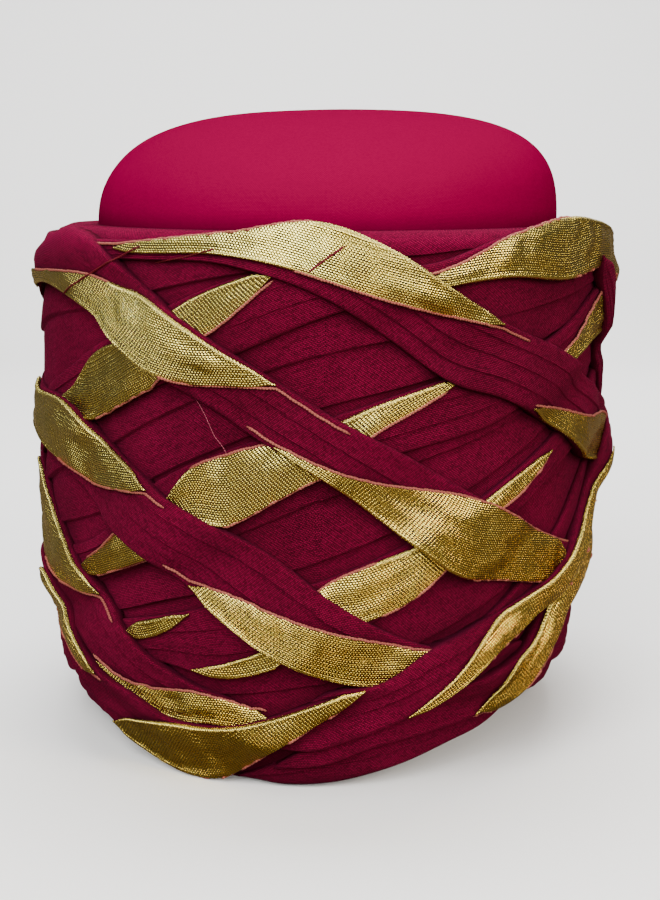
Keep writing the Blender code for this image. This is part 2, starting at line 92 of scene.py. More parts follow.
# The gold tape: its waves, the rolled fold with the teeth of its threads, and its ends in degrees
TAPE_THICKNESS = 0.0004
TAPE_CREST = 0.0006
TAPE_WAVE = 0.0009
TAPE_FULL_WIDTH = 0.012
TAPE_MARGIN = 0.005
TAPE_LEAST_WIDTH = 0.0008
TAPE_STEP = 0.25
TAPE_TAPER = 4.0
FOLD_ROLL = 0.0006
FOLD_MIDDLE = 0.0007
FOLD_SPREAD = 0.0006
FOLD_WIDTH = 0.0009
FOLD_TOOTH = 0.00022

# The tape's weave: its cells, the stripes of its fold, its pin holes, the foil's waves and its tones, with
# a painted reflection that is pale up and to the left and amber lower down and to the right
CELL_LENGTH = 0.00115
CELL_WIDTH = 0.00080
DOME_RISE = 0.00036
CELL_TILT = 0.00010
STRIPE_DEPTH = 0.00016
HOLE_DEPTH = 0.00008
FOIL_WAVE = 0.0005
# Gold from pale to amber: random tone, and a painted reflection of warm light lower down
GOLD_TONES_AND_PAINTED_REFLECTION = [(0.0, (0.97, 0.86, 0.24)), (0.45, (0.93, 0.69, 0.12)), (1.0, (0.88, 0.44, 0.04))]

# Painted top light: the topmost band of the winding is painted in the cap's lighter crimson, as if lit from
# above: where it starts and ends, and its colour
PAINTED_TOP_LIGHT_BAND = (0.186, 0.193)
PAINTED_TOP_LIGHT_COLOUR = (0.185, 0.0002, 0.032)

# Cords and threads: their twist shows as a slight swell, and their ends fade
CORD_RADIUS = 0.00046
CORD_STEP = 0.0005
CORD_TURN = 0.0022
CORD_TWIST = 0.16
CORD_WANDER = 0.00018
CORD_ARC_RADIUS = 0.11
CORD_FADE = 0.002
THREAD_TWIST = 0.12
TUBE_SIDES = 7

# The room's tones from below upwards, and the floor as it is seen and as it lights the turban
ROOM_TONES = [(0.42, (0.03, 0.027, 0.025)), (0.56, (0.12, 0.12, 0.12)), (0.85, (0.4, 0.4, 0.4))]
FLOOR_SEEN = (0.92, 0.92, 0.92)
FLOOR_REFLECTED = (0.10, 0.075, 0.05)

# The grid that the layers are laid on: degrees round the axis and metres up it
COLUMN_STEP = 0.5
COLUMNS = 720
ROW_STEP = 0.0008
ROW_HEIGHTS = np.arange(0.0, WRAP_HEIGHT * 1.09, ROW_STEP)
STRIP_STRIDE = 2
PANEL_ROWS = 10
INNER_ROWS = 7
TAPE_ROWS = 17

# Girth of the winding's outside, as shares of WRAP_HALF_WIDTH, at heights as shares of WRAP_HEIGHT
Girth = namedtuple("Girth", "height share")
GIRTHS = [
    Girth(0.00, 0.835),
    Girth(0.05, 0.875),
    Girth(0.13, 0.915),
    Girth(0.28, 0.950),
    Girth(0.50, 0.965),
    Girth(0.75, 0.975),
    Girth(0.90, 0.998),
    Girth(1.00, 0.990),
    Girth(1.06, 0.975),
]
# The winding's lower edge rises clear of the floor at the front corners: heights as shares of WRAP_HEIGHT
Lift = namedtuple("Lift", "azimuth share")
RIM_LIFTS = [
    Lift(-90, 0.00),
    Lift(-75, 0.02),
    Lift(-60, 0.04),
    Lift(-45, 0.035),
    Lift(-22.5, 0.00),
    Lift(0, 0.00),
    Lift(15, 0.02),
    Lift(30, 0.05),
    Lift(45, 0.075),
    Lift(60, 0.075),
    Lift(75, 0.045),
    Lift(90, 0.00),
]
# Where the cloth bulges out between the strips: its middle, how far it reaches each way, and how much
Bulge = namedtuple("Bulge", "azimuth height turn rise out")
BULGES = [
    Bulge(-92, 0.58, 48, 0.40, 0.0062),
    Bulge(-62, 0.10, 34, 0.20, 0.0045),
]

# Strips run round the turban. Each row gives an azimuth in degrees and the heights of the lower and
# upper edge there, as shares of WRAP_HEIGHT. Gold facings have their edges as shares of the strip's
# width. Creases are the places of the lengthwise folds, as shares of the strip's width.
Strip = namedtuple("Strip", "name ring creases edges facings")

STRIPS = [
    Strip(
        "rising_wrap_4", False, (0.45,),
        [(7.5, 0.10, 0.17), (15, 0.165, 0.245), (30, 0.23, 0.30), (45, 0.33, 0.40), (60, 0.42, 0.50),
         (80, 0.52, 0.60), (110, 0.50, 0.60), (145, 0.34, 0.46), (180, 0.17, 0.28), (222, 0.03, 0.11)],
        {"gold_rising_4": [(22.5, 0.0, 0.3), (30, 0.0, 0.45), (37.5, 0.0, 0.3)]},
    ),
    Strip(
        "rising_wrap_3", True, (0.3, 0.66),
        [(-90, 0.08, 0.17), (-60, 0.13, 0.22), (-45, 0.19, 0.27), (-30, 0.22, 0.31), (-15, 0.215, 0.355),
         (0, 0.275, 0.40), (15, 0.36, 0.465), (30, 0.45, 0.54), (45, 0.54, 0.615), (60, 0.60, 0.68),
         (80, 0.65, 0.73), (110, 0.62, 0.72), (145, 0.48, 0.60), (180, 0.31, 0.43), (225, 0.14, 0.25)],
        {"gold_rising_3_left": [(-37.5, 0.5, 0.9), (-30, 0.6, 0.95), (-22.5, 0.9, 1.0)],
         "gold_rising_3": [(-22.5, 0.0, 0.1), (-15, 0.0, 0.22), (-7.5, 0.0, 0.36), (0, 0.3, 0.9),
                           (7.5, 0.1, 0.97), (15, 0.0, 0.9), (22.5, 0.2, 0.8), (30, 0.5, 0.95),
                           (37.5, 0.5, 0.92), (45, 0.7, 0.85)],
         "gold_rising_3_back": [(150, 0.1, 0.4), (165, 0.0, 0.9), (185, 0.0, 1.0), (204, 0.6, 0.9)]},
    ),
    Strip(
        "rising_wrap_2", True, (0.35, 0.7),
        [(-90, 0.25, 0.34), (-60, 0.31, 0.385), (-45, 0.36, 0.44), (-30, 0.42, 0.555), (-15, 0.495, 0.63),
         (0, 0.585, 0.685), (15, 0.63, 0.735), (30, 0.665, 0.77), (45, 0.73, 0.81), (60, 0.785, 0.875),
         (75, 0.80, 0.90), (100, 0.76, 0.87), (140, 0.63, 0.75), (180, 0.45, 0.58), (225, 0.29, 0.40)],
        {"gold_rising_2": [(-52.5, 0.2, 0.5), (-45, 0.0, 0.6), (-37.5, 0.0, 0.7), (-30, 0.0, 0.5),
                           (-22.5, 0.25, 0.93), (-15, 0.0, 0.95), (0, 0.0, 0.85), (7.5, 0.45, 0.95),
                           (15, 0.68, 0.97), (22.5, 0.9, 1.0)],
         "gold_rising_2_right": [(45, 0.05, 0.4), (52.5, 0.0, 0.6), (60, 0.0, 0.85), (75, 0.0, 0.9),
                                 (90, 0.1, 0.6)],
         "gold_rising_2_back": [(126, 0.3, 0.6), (140, 0.0, 0.9), (160, 0.0, 0.8), (174, 0.1, 0.3)]},
    ),
    Strip(
        "rising_wrap_1", True, (0.4, 0.72),
        [(-90, 0.50, 0.60), (-60, 0.62, 0.72), (-45, 0.655, 0.79), (-30, 0.725, 0.855), (-15, 0.79, 0.92),
         (0, 0.86, 0.955), (15, 0.90, 0.945), (30, 0.92, 0.99), (45, 0.91, 1.02), (60, 0.925, 1.01),
         (90, 0.87, 0.96), (130, 0.86, 0.97), (180, 0.73, 0.86), (230, 0.56, 0.68)],
        {"gold_rising_1": [(-60, 0.3, 0.5), (-52.5, 0.1, 0.6), (-45, 0.0, 0.85), (-30, 0.0, 0.8),
                           (-22.5, 0.3, 0.93), (-15, 0.5, 0.97), (-7.5, 0.85, 1.0)],
         "gold_rising_1_right": [(15, 0.0, 0.6), (22.5, 0.0, 0.8), (30, 0.0, 1.0), (60, 0.0, 1.0),
                                 (90, 0.0, 1.0), (102, 0.3, 0.8)],
         "gold_rising_1_back": [(198, 0.5, 0.8), (210, 0.1, 1.0), (225, 0.0, 0.9), (246, 0.1, 0.3)]},
    ),
    Strip(
        "falling_wrap_0", False, (0.3, 0.62),
        [(60, 0.90, 0.975), (67, 0.81, 0.93), (73, 0.71, 0.86), (80, 0.60, 0.78), (95, 0.44, 0.60),
         (120, 0.26, 0.40), (145, 0.12, 0.24), (162, 0.02, 0.11)],
        {"gold_falling_0": [(102, 0.6, 0.9), (114, 0.2, 1.0), (130, 0.0, 0.9), (150, 0.0, 0.3)]},
    ),
    Strip(
        "falling_wrap_1", True, (0.25, 0.5, 0.74),
        [(-90, 0.93, 0.985), (-60, 0.935, 0.985), (-30, 0.95, 0.985), (-15, 0.945, 1.0), (0, 0.89, 1.015),
         (10, 0.82, 0.97), (20, 0.745, 0.90), (30, 0.71, 0.845), (45, 0.64, 0.785), (60, 0.565, 0.72),
         (75, 0.53, 0.66), (100, 0.48, 0.60), (135, 0.54, 0.66), (180, 0.71, 0.84), (225, 0.86, 0.97)],
        {"gold_falling_1": [(-37.5, 0.4, 0.8), (-30, 0.35, 0.95), (-15, 0.3, 1.0), (0, 0.25, 1.0),
                            (10, 0.43, 1.0), (20, 0.72, 1.0), (30, 0.9, 1.0)],
         "gold_falling_1_right": [(37.5, 0.0, 0.1), (45, 0.0, 0.25), (60, 0.0, 0.5), (75, 0.0, 0.75),
                                  (90, 0.0, 0.6), (102, 0.0, 0.2)],
         "gold_falling_1_back": [(150, 0.3, 0.6), (170, 0.0, 0.9), (190, 0.1, 1.0), (210, 0.6, 1.0)]},
    ),
    Strip(
        "falling_wrap_2", True, (0.3, 0.62),
        [(-90, 0.84, 0.95), (-70, 0.89, 0.96), (-50, 0.875, 1.0), (-43, 0.85, 0.98), (-30, 0.765, 0.90),
         (-15, 0.68, 0.80), (0, 0.585, 0.70), (15, 0.46, 0.61), (22, 0.405, 0.565), (35, 0.37, 0.49),
         (50, 0.34, 0.42), (75, 0.28, 0.38), (105, 0.25, 0.36), (140, 0.33, 0.45), (180, 0.48, 0.61),
         (225, 0.67, 0.81)],
        {"gold_falling_2_top": [(-84, 0.1, 0.5), (-72, 0.0, 0.4), (-60, 0.05, 0.3),
                                (-52.5, 0.0, 0.35), (-45, 0.0, 0.5), (-37, 0.0, 0.7),
                                (-30, 0.0, 0.93), (-22.5, 0.15, 0.95), (-15, 0.5, 0.95), (-7.5, 0.9, 1.0)],
         "gold_falling_2": [(-7.5, 0.0, 0.1), (0, 0.0, 0.2), (7.5, 0.0, 0.42), (15, 0.0, 0.68),
                            (22.5, 0.0, 0.9), (30, 0.0, 1.0), (52.5, 0.0, 1.0)],
         "gold_falling_2_back": [(126, 0.2, 0.5), (140, 0.0, 1.0), (160, 0.0, 1.0), (186, 0.5, 0.9)]},
    ),
    Strip(
        "falling_wrap_3", True, (0.22, 0.42, 0.74),
        [(-90, 0.60, 0.70), (-70, 0.59, 0.69), (-54, 0.53, 0.68), (-38, 0.455, 0.595), (-22, 0.37, 0.515),
         (-9, 0.275, 0.45), (5, 0.21, 0.345), (15, 0.205, 0.285), (35, 0.175, 0.245), (60, 0.14, 0.22),
         (100, 0.10, 0.21), (140, 0.15, 0.26), (180, 0.28, 0.40), (225, 0.45, 0.58)],
        {"gold_falling_3_left": [(-90, 0.2, 0.6), (-82.5, 0.0, 0.9), (-64, 0.0, 0.95), (-54, 0.13, 1.0),
                                 (-45, 0.3, 1.0), (-37.5, 0.6, 1.0), (-30, 0.9, 1.0)],
         "gold_falling_3": [(-22.5, 0.0, 0.1), (-15, 0.0, 0.35), (-7.5, 0.0, 0.47), (0, 0.0, 0.6),
                            (7.5, 0.0, 0.75), (22.5, 0.0, 1.0)],
         "gold_falling_3_back": [(162, 0.1, 0.4), (180, 0.0, 1.0), (205, 0.1, 1.0), (222, 0.7, 1.0)]},
    ),
    Strip(
        "falling_wrap_4", False, (0.33, 0.66),
        [(-210, 0.02, 0.12), (-180, 0.12, 0.23), (-135, 0.26, 0.39), (-90, 0.43, 0.57),
         (-75, 0.365, 0.525), (-60, 0.28, 0.415), (-45, 0.19, 0.33), (-30, 0.12, 0.225),
         (-15, 0.12, 0.17), (-7.5, 0.11, 0.15)],
        {"gold_falling_4_left": [(-90, 0.1, 0.5), (-82.5, 0.0, 0.8), (-75, 0.0, 1.0), (-64, 0.15, 1.0),
                                 (-52.5, 0.6, 1.0), (-45, 0.9, 1.0)],
         "gold_falling_4": [(-45, 0.0, 0.08), (-37.5, 0.0, 0.2), (-30, 0.0, 0.5), (-22.5, 0.0, 0.85),
                            (-7.5, 0.0, 1.0)],
         "gold_falling_4_back": [(-174, 0.2, 0.5), (-155, 0.0, 1.0), (-130, 0.1, 1.0), (-114, 0.6, 0.9)]},
    ),
    Strip(
        "sweeping_wrap_3", False, (0.5,),
        [(-15, 0.006, 0.02), (-7.5, 0.006, 0.05), (2, 0.01, 0.085), (15, 0.035, 0.105),
         (26, 0.065, 0.125), (35, 0.085, 0.155), (48, 0.165, 0.235), (60, 0.255, 0.325), (75, 0.355, 0.43),
         (95, 0.41, 0.49), (120, 0.31, 0.41), (150, 0.16, 0.27), (174, 0.02, 0.13)],
        {"gold_sweeping_3": [(37.5, 0.2, 0.5), (45, 0.2, 1.0), (60, 0.1, 1.0), (75, 0.0, 0.3)]},
    ),
    Strip(
        "sweeping_wrap_2", False, (0.6,),
        [(-7.5, 0.03, 0.06), (2, 0.055, 0.11), (10, 0.085, 0.14), (20, 0.10, 0.18), (30, 0.112, 0.20),
         (36, 0.125, 0.212), (41, 0.155, 0.23), (50, 0.235, 0.305), (60, 0.315, 0.38),
         (75, 0.44, 0.51), (95, 0.49, 0.57), (120, 0.41, 0.50), (150, 0.26, 0.37), (180, 0.12, 0.22),
         (198, 0.02, 0.12)],
        {"gold_sweeping_2": [(30, 0.0, 0.15), (37.5, 0.0, 0.95), (45, 0.0, 1.0), (60, 0.0, 1.0),
                             (75, 0.0, 0.5), (90, 0.0, 0.2)]},
    ),
    Strip(
        "sweeping_wrap_1", False, (0.5, 0.75),
        [(-7.5, 0.05, 0.14), (2, 0.092, 0.195), (10, 0.122, 0.213), (18, 0.155, 0.265), (25, 0.197, 0.285),
         (33, 0.252, 0.313), (40, 0.28, 0.337), (48, 0.315, 0.372), (57, 0.38, 0.435), (75, 0.51, 0.57),
         (95, 0.57, 0.65), (120, 0.52, 0.62), (150, 0.38, 0.50), (180, 0.24, 0.36), (222, 0.03, 0.13)],
        {"gold_sweeping_1": [(15, 0.0, 0.08), (22.5, 0.0, 0.3), (33, 0.0, 0.97), (54, 0.0, 1.0),
                             (67.5, 0.0, 0.6), (82.5, 0.0, 0.1)],
         "gold_sweeping_1_back": [(138, 0.6, 0.9), (150, 0.1, 1.0), (170, 0.0, 0.9), (186, 0.0, 0.3)]},
    ),
    Strip(
        "falling_wrap_5", False, (0.3, 0.6),
        [(-150, 0.02, 0.10), (-130, 0.09, 0.19), (-105, 0.18, 0.28), (-85, 0.24, 0.35), (-70, 0.235, 0.34),
         (-60, 0.18, 0.285), (-47, 0.07, 0.19), (-37, 0.03, 0.155), (-27, 0.006, 0.12), (-18, 0.01, 0.12),
         (-8, 0.08, 0.145), (0, 0.14, 0.18), (7.5, 0.195, 0.215)],
        {"gold_falling_5_left": [(-75, 0.1, 0.5), (-67.5, 0.15, 0.95), (-60, 0.3, 1.0), (-52.5, 0.6, 1.0),
                                 (-45, 0.85, 1.0)],
         "gold_falling_5": [(-45, 0.0, 0.12), (-37.5, 0.0, 0.5), (-27, 0.0, 0.95), (-18, 0.0, 1.0),
                            (7.5, 0.0, 1.0)]},
    ),
]
# Where the pink woven edge shows: on the tape's low or high edge, from one azimuth to another
Selvedge = namedtuple("Selvedge", "tape edge start end")
SELVEDGE_ROWS = (
    ("rising_1", "low", -45, -8),
    ("rising_1_right", "high", 14, 46),
    ("rising_1_right", "low", 48, 100),
    ("rising_1_back", "low", 200, 244),
    ("rising_2", "low", -46, -28),
    ("rising_2", "high", -50, -37),
    ("rising_2", "high", -22, -8),
    ("rising_2", "low", -16, 20),
    ("rising_2_right", "high", 47, 88),
    ("rising_2_back", "high", 128, 172),
    ("rising_3", "high", -3, 9),
    ("rising_3", "low", 10, 44),
    ("rising_3_back", "low", 168, 202),
    ("falling_0", "high", 104, 134),
    ("falling_1", "high", -48, -2),
    ("falling_1", "low", -5, 36),
    ("falling_1_right", "high", 38, 100),
    ("falling_1_back", "low", 152, 208),
    ("falling_2_top", "high", -66, -38),
    ("falling_2_top", "low", -27, 4),
    ("falling_2", "high", -12, 54),
    ("falling_2", "low", 26, 54),
    ("falling_2_back", "low", 128, 184),
    ("falling_3_left", "low", -60, -26),
    ("falling_3", "high", -27, 21),
    ("falling_3_back", "high", 164, 220),
    ("falling_4_left", "low", -70, -40),
    ("falling_4", "high", -46, -9),
    ("falling_4_back", "low", -172, -116),
    ("sweeping_1", "low", 30, 70),
    ("sweeping_1_back", "high", 140, 184),
    ("sweeping_2", "low", 30, 80),
    ("sweeping_3", "low", 40, 74),
    ("falling_5_left", "low", -68, -44),
    ("falling_5", "low", -24, 6),
)
SELVEDGES = [Selvedge(f"gold_{tape}", edge, start, end) for tape, edge, start, end in SELVEDGE_ROWS]

# Plump stretches where a strip is rolled instead of pleated: how far it swells
Roll = namedtuple("Roll", "strip start end swell")
ROLLS = [
    Roll("falling_wrap_2", -82, -36, 0.0030),
]

# Red tacking stitches and one loose thread: each point as an azimuth and a height share
Thread = namedtuple("Thread", "name look radius points")
THREADS = [
    Thread("red_stitch_1", "thread", 0.00034, [(-54, 0.872), (-46, 0.905), (-38, 0.943), (-31, 0.974)]),
    Thread("red_stitch_2", "thread", 0.00028, [(-29, 0.945), (-23, 0.956), (-17, 0.972)]),
    Thread("red_stitch_3", "thread", 0.00042, [(-2.6, 0.936), (-0.2, 0.957), (2.6, 0.979)]),
    Thread("loose_thread", "pale_thread", 0.00011,
           [(-21.6, 0.714), (-19.5, 0.68), (-18, 0.65), (-15.5, 0.622)]),
]

# Lengthwise folds of the winding between the rim, three rising rings and the top, as shares of each gap
CORE_CREASES = ((0.30, 0.62), (0.33, 0.70), (0.26, 0.60), (0.5,))
CORE_RINGS = ("rising_wrap_3", "rising_wrap_2", "rising_wrap_1")
HIGHEST_RING = 0.94


def smooth(where, places, values, period=None):
    """A smooth curve through the values at rising places, closed on itself if it has a period."""
    where = np.asarray(where, dtype=float)
    places = np.asarray(places, dtype=float)
    values = np.asarray(values, dtype=float)
    if period is not None:
        places = np.concatenate([places[-2:] - period, places, places[:2] + period])
        values = np.concatenate([values[-2:], values, values[:2]])
        where = places[1] + (where - places[1]) % period
    slopes = np.gradient(values, places)
    at = np.clip(np.searchsorted(places, where) - 1, 0, len(places) - 2)
    span = places[at + 1] - places[at]
    share = np.clip((where - places[at]) / span, 0.0, 1.0)
    rest = 1 - share
    start = values[at] * (1 + 2 * share) + slopes[at] * span * share
    end = values[at + 1] * (1 + 2 * rest) - slopes[at + 1] * span * rest
    return start * rest**2 + end * share**2


def ease(values, start, end):
    """Rises smoothly from 0 at start to 1 at end."""
    share = np.clip((values - start) / (end - start), 0.0, 1.0)
    return share * share * (3 - 2 * share)


def oval_radius(azimuth, half_width):
    """Distance from the axis to an oval of this half width, deeper than wide by EXTRA_DEPTH."""
    turn = np.radians(azimuth)
    return 1 / np.hypot(np.sin(turn) / half_width, np.cos(turn) / (half_width + EXTRA_DEPTH))


def from_front(azimuth):
    """The same azimuth, between -180 and 180 degrees."""
    return (azimuth + FULL_TURN / 2) % FULL_TURN - FULL_TURN / 2


def rim_height(azimuth):
    """Height of the winding's lower edge in metres."""
    places = [row.azimuth for row in RIM_LIFTS]
    share = np.interp(from_front(azimuth), places, [row.share for row in RIM_LIFTS])
    return share * WRAP_HEIGHT


def bulging(azimuth, height):
    """How far the cloth bulges beyond its girth, in metres."""
    total = 0.0
    for bulge in BULGES:
        turned = np.abs(from_front(azimuth - bulge.azimuth))
        across = 1 - ease(turned / bulge.turn, 0.35, 1.0)
        up = 1 - ease(np.abs(height / WRAP_HEIGHT - bulge.height) / bulge.rise, 0.45, 1.0)
        total = total + bulge.out * across * up
    return total


def wrap_radius(azimuth, height):
    """Distance from the axis to the outside of the winding at a height in metres."""
    rim = rim_height(azimuth)
    climb = np.maximum(height - rim, 0.0) / (WRAP_HEIGHT - rim)
    share = np.interp(climb, [row.height for row in GIRTHS], [row.share for row in GIRTHS])
    return oval_radius(azimuth, WRAP_HALF_WIDTH * share) + bulging(azimuth, height)


def points(azimuth, radius, height):
    """Points in space, with the axis leaning to the left towards the floor."""
    turn = np.radians(azimuth)
    axis = AXIS_SHIFT - WRAP_LEAN * (1 - np.minimum(height / WRAP_HEIGHT, 1.0))
    return np.stack([axis + radius * np.sin(turn), -radius * np.cos(turn), height + 0 * turn], axis=-1)


def ripple(along, across, seed, length, width):
    """A smooth uneven surface between about -1 and 1, with waves of about this length and width."""
    chance = np.random.default_rng(seed)
    total = 0
    for _ in range(6):
        pace = chance.uniform(0.5, 1.6)
        side = chance.uniform(-1.0, 1.0)
        phase = chance.uniform(0, math.tau)
        total = total + np.sin(math.tau * (along * pace / length + across * side / width) + phase)
    return total / 6


class Winding:
    """The outer radius of all that is laid so far, at each column round the axis and each row up it."""

    def __init__(self, radius):
        self.radius = radius

    def spread(self, reach):
        """The surface that a cloth takes over what is laid: no lower anywhere, and bridging short dips."""
        laid = self.radius
        for take in (np.maximum, np.add):
            for axis in (0, 1):
                total = laid
                for step in range(1, reach + 1):
                    for turn in (-step, step):
                        total = take(total, self.shifted(laid, turn, axis))
                laid = total if take is np.maximum else total / (2 * reach + 1)
        return laid

    @staticmethod
    def shifted(field, turn, axis):
        moved = np.roll(field, turn, axis=axis)
        if axis == 1 and turn > 0:
            moved[:, :turn] = field[:, :1]
        if axis == 1 and turn < 0:
            moved[:, turn:] = field[:, -1:]
        return moved

    def lay(self, columns, heights, radii):
        """Adds a band's outer surface, given by its rows at each column."""
        for column, line, reach in zip(columns, heights, radii):
            inside = (ROW_HEIGHTS >= line[0]) & (ROW_HEIGHTS <= line[-1])
            above = np.interp(ROW_HEIGHTS[inside], line, reach)
            place = column % COLUMNS
            self.radius[place, inside] = np.maximum(self.radius[place, inside], above)


def sample(field, azimuths, heights):
    """The field's value at each azimuth's row of heights, between its grid points."""
    column = np.asarray(azimuths, dtype=float) / COLUMN_STEP
    left = np.floor(column).astype(int)
    turn = (column - left)[:, None]
    place = np.clip(heights / ROW_STEP, 0, len(ROW_HEIGHTS) - 1.001)
    low = place.astype(int)
    part = place - low
    value = 0
    for step, weight in ((0, 1 - turn), (1, turn)):
        rows = ((left + step) % COLUMNS)[:, None]
        value = value + weight * (field[rows, low] * (1 - part) + field[rows, low + 1] * part)
    return value


def add_object(name, data):
    made = bpy.data.objects.new(name, data)
    bpy.context.scene.collection.objects.link(made)
    return made


def mesh_object(name, places, faces, uvs, material):
    """An object from arrays of points, faces and a UV pair for each face corner."""
    mesh = bpy.data.meshes.new(name)
    mesh.from_pydata(places.tolist(), [], faces)
    layer = mesh.uv_layers.new(name="UVMap")
    layer.data.foreach_set("uv", np.asarray(uvs, dtype=np.float32).ravel())
    mesh.materials.append(material)
    mesh.shade_smooth()
    return add_object(name, mesh)


def loft(name, sections, along, across, ring, material):
    """A closed skin through sections of equal numbers of points. UVs are metres along and across it."""
    count, size = sections.shape[:2]
    places = sections.reshape(-1, 3)
    faces = []
    uvs = []
    last = count if ring else count - 1
    lengths = np.append(along, along[-1] + (along[-1] - along[-2]))
    for here in range(last):
        there = (here + 1) % count
        for low in range(size):
            high = (low + 1) % size
            faces.append((here * size + low, there * size + low, there * size + high, here * size + high))
            left = (lengths[here], across[here, low])
            right = (lengths[here + 1], across[there, low])
            far_right = (lengths[here + 1], across[there, high])
            far_left = (lengths[here], across[here, high])
            uvs.extend((left, right, far_right, far_left))
    if not ring:
        faces.append(tuple(range(size)))
        faces.append(tuple(range((count - 1) * size, count * size))[::-1])
        uvs.extend((along[0], spot) for spot in across[0])
        uvs.extend((along[-1], spot) for spot in across[-1][::-1])
    return mesh_object(name, places, faces, uvs, material)


def lengths_along(sections):
    """Metres along a band, measured on its outer middle line."""
    middle = sections[:, sections.shape[1] // 4]
    steps = np.linalg.norm(np.diff(middle, axis=0), axis=1)
    return np.concatenate([[0.0], np.cumsum(steps)])


def lengths_across(sections):
    """Metres round each section, from its first point."""
    steps = np.linalg.norm(np.diff(sections, axis=1), axis=2)
    return np.concatenate([np.zeros((len(sections), 1)), np.cumsum(steps, axis=1)], axis=1)


def edges_at(rows, azimuths, ring):
    """The low and high values of a table of edges at these azimuths."""
    places = [row[0] for row in rows]
    period = FULL_TURN if ring else None
    low = smooth(azimuths, places, [row[1] for row in rows], period)
    high = smooth(azimuths, places, [row[2] for row in rows], period)
    return low, high


def strip_edges(strip, azimuths):
    low, high = edges_at(strip.edges, azimuths, strip.ring)
    return low * WRAP_HEIGHT, high * WRAP_HEIGHT


def strip_columns(strip):
    """The columns of a strip, all of them if it is a ring."""
    if strip.ring:
        return np.arange(0, COLUMNS)
    first = math.ceil(strip.edges[0][0] / COLUMN_STEP)
    last = math.floor(strip.edges[-1][0] / COLUMN_STEP)
    return np.arange(first, last + 1)


def band_object(name, azimuths, outer_heights, outer_radii, inner_radii, ring, material, across=None):
    """A band from its outer rows and its inner rows, which run back from the last outer row.

    across gives how far each outer row lies across the cloth, where it isn't to be measured.
    """
    turns = azimuths[:, None]
    shares = np.linspace(1.0, 0.0, inner_radii.shape[1])
    low, high = outer_heights[:, :1], outer_heights[:, -1:]
    inner_heights = low + (high - low) * shares
    outer = points(turns, outer_radii, outer_heights)
    inner = points(turns, inner_radii[:, ::-1], inner_heights)
    sections = np.concatenate([outer, inner], axis=1)
    spots = lengths_across(sections)
    if across is not None:
        spots[:, :across.shape[1]] = across
    return loft(name, sections, lengths_along(sections), spots, ring, material)


def panel_rows(marks, count):
    """Row places between rising marks, close together at each mark, and each row's share up its panel."""
    eased = (1 - np.cos(np.linspace(0, math.pi, count))) / 2
    rows = []
    climbs = []
    for low, high in zip(marks, marks[1:]):
        rows.append(low[:, None] + (high - low)[:, None] * (0.01 + 0.98 * eased))
        climbs.append(np.tile(eased, (len(low), 1)))
    rows = np.concatenate(rows, axis=1)
    rows[:, 0] = marks[0]
    rows[:, -1] = marks[-1]
    return rows, np.concatenate(climbs, axis=1)


def narrowing(azimuths, taper, beyond):
    """The share of its width that a band has: less near its ends, over this many degrees.

    beyond is how far outside the band, as a share of the taper, the width would come to nothing.
    """
    start = ease(azimuths, azimuths[0] - beyond * taper, azimuths[0] + taper)
    return start * (1 - ease(azimuths, azimuths[-1] - taper, azimuths[-1] + beyond * taper))


def swelling(strip, azimuths):
    """How far a strip swells at each azimuth where it is rolled, and how much of it is rolled."""
    swell = np.zeros(len(azimuths))
    rolled = np.zeros(len(azimuths))
    for roll in ROLLS:
        if roll.strip != strip.name:
            continue
        turned = from_front(azimuths)
        third = (roll.end - roll.start) / 3
        share = ease(turned, roll.start, roll.start + third)
        share = share * (1 - ease(turned, roll.end - third, roll.end))
        swell = np.maximum(swell, roll.swell * share)
        rolled = np.maximum(rolled, share)
    return swell[:, None], rolled[:, None]


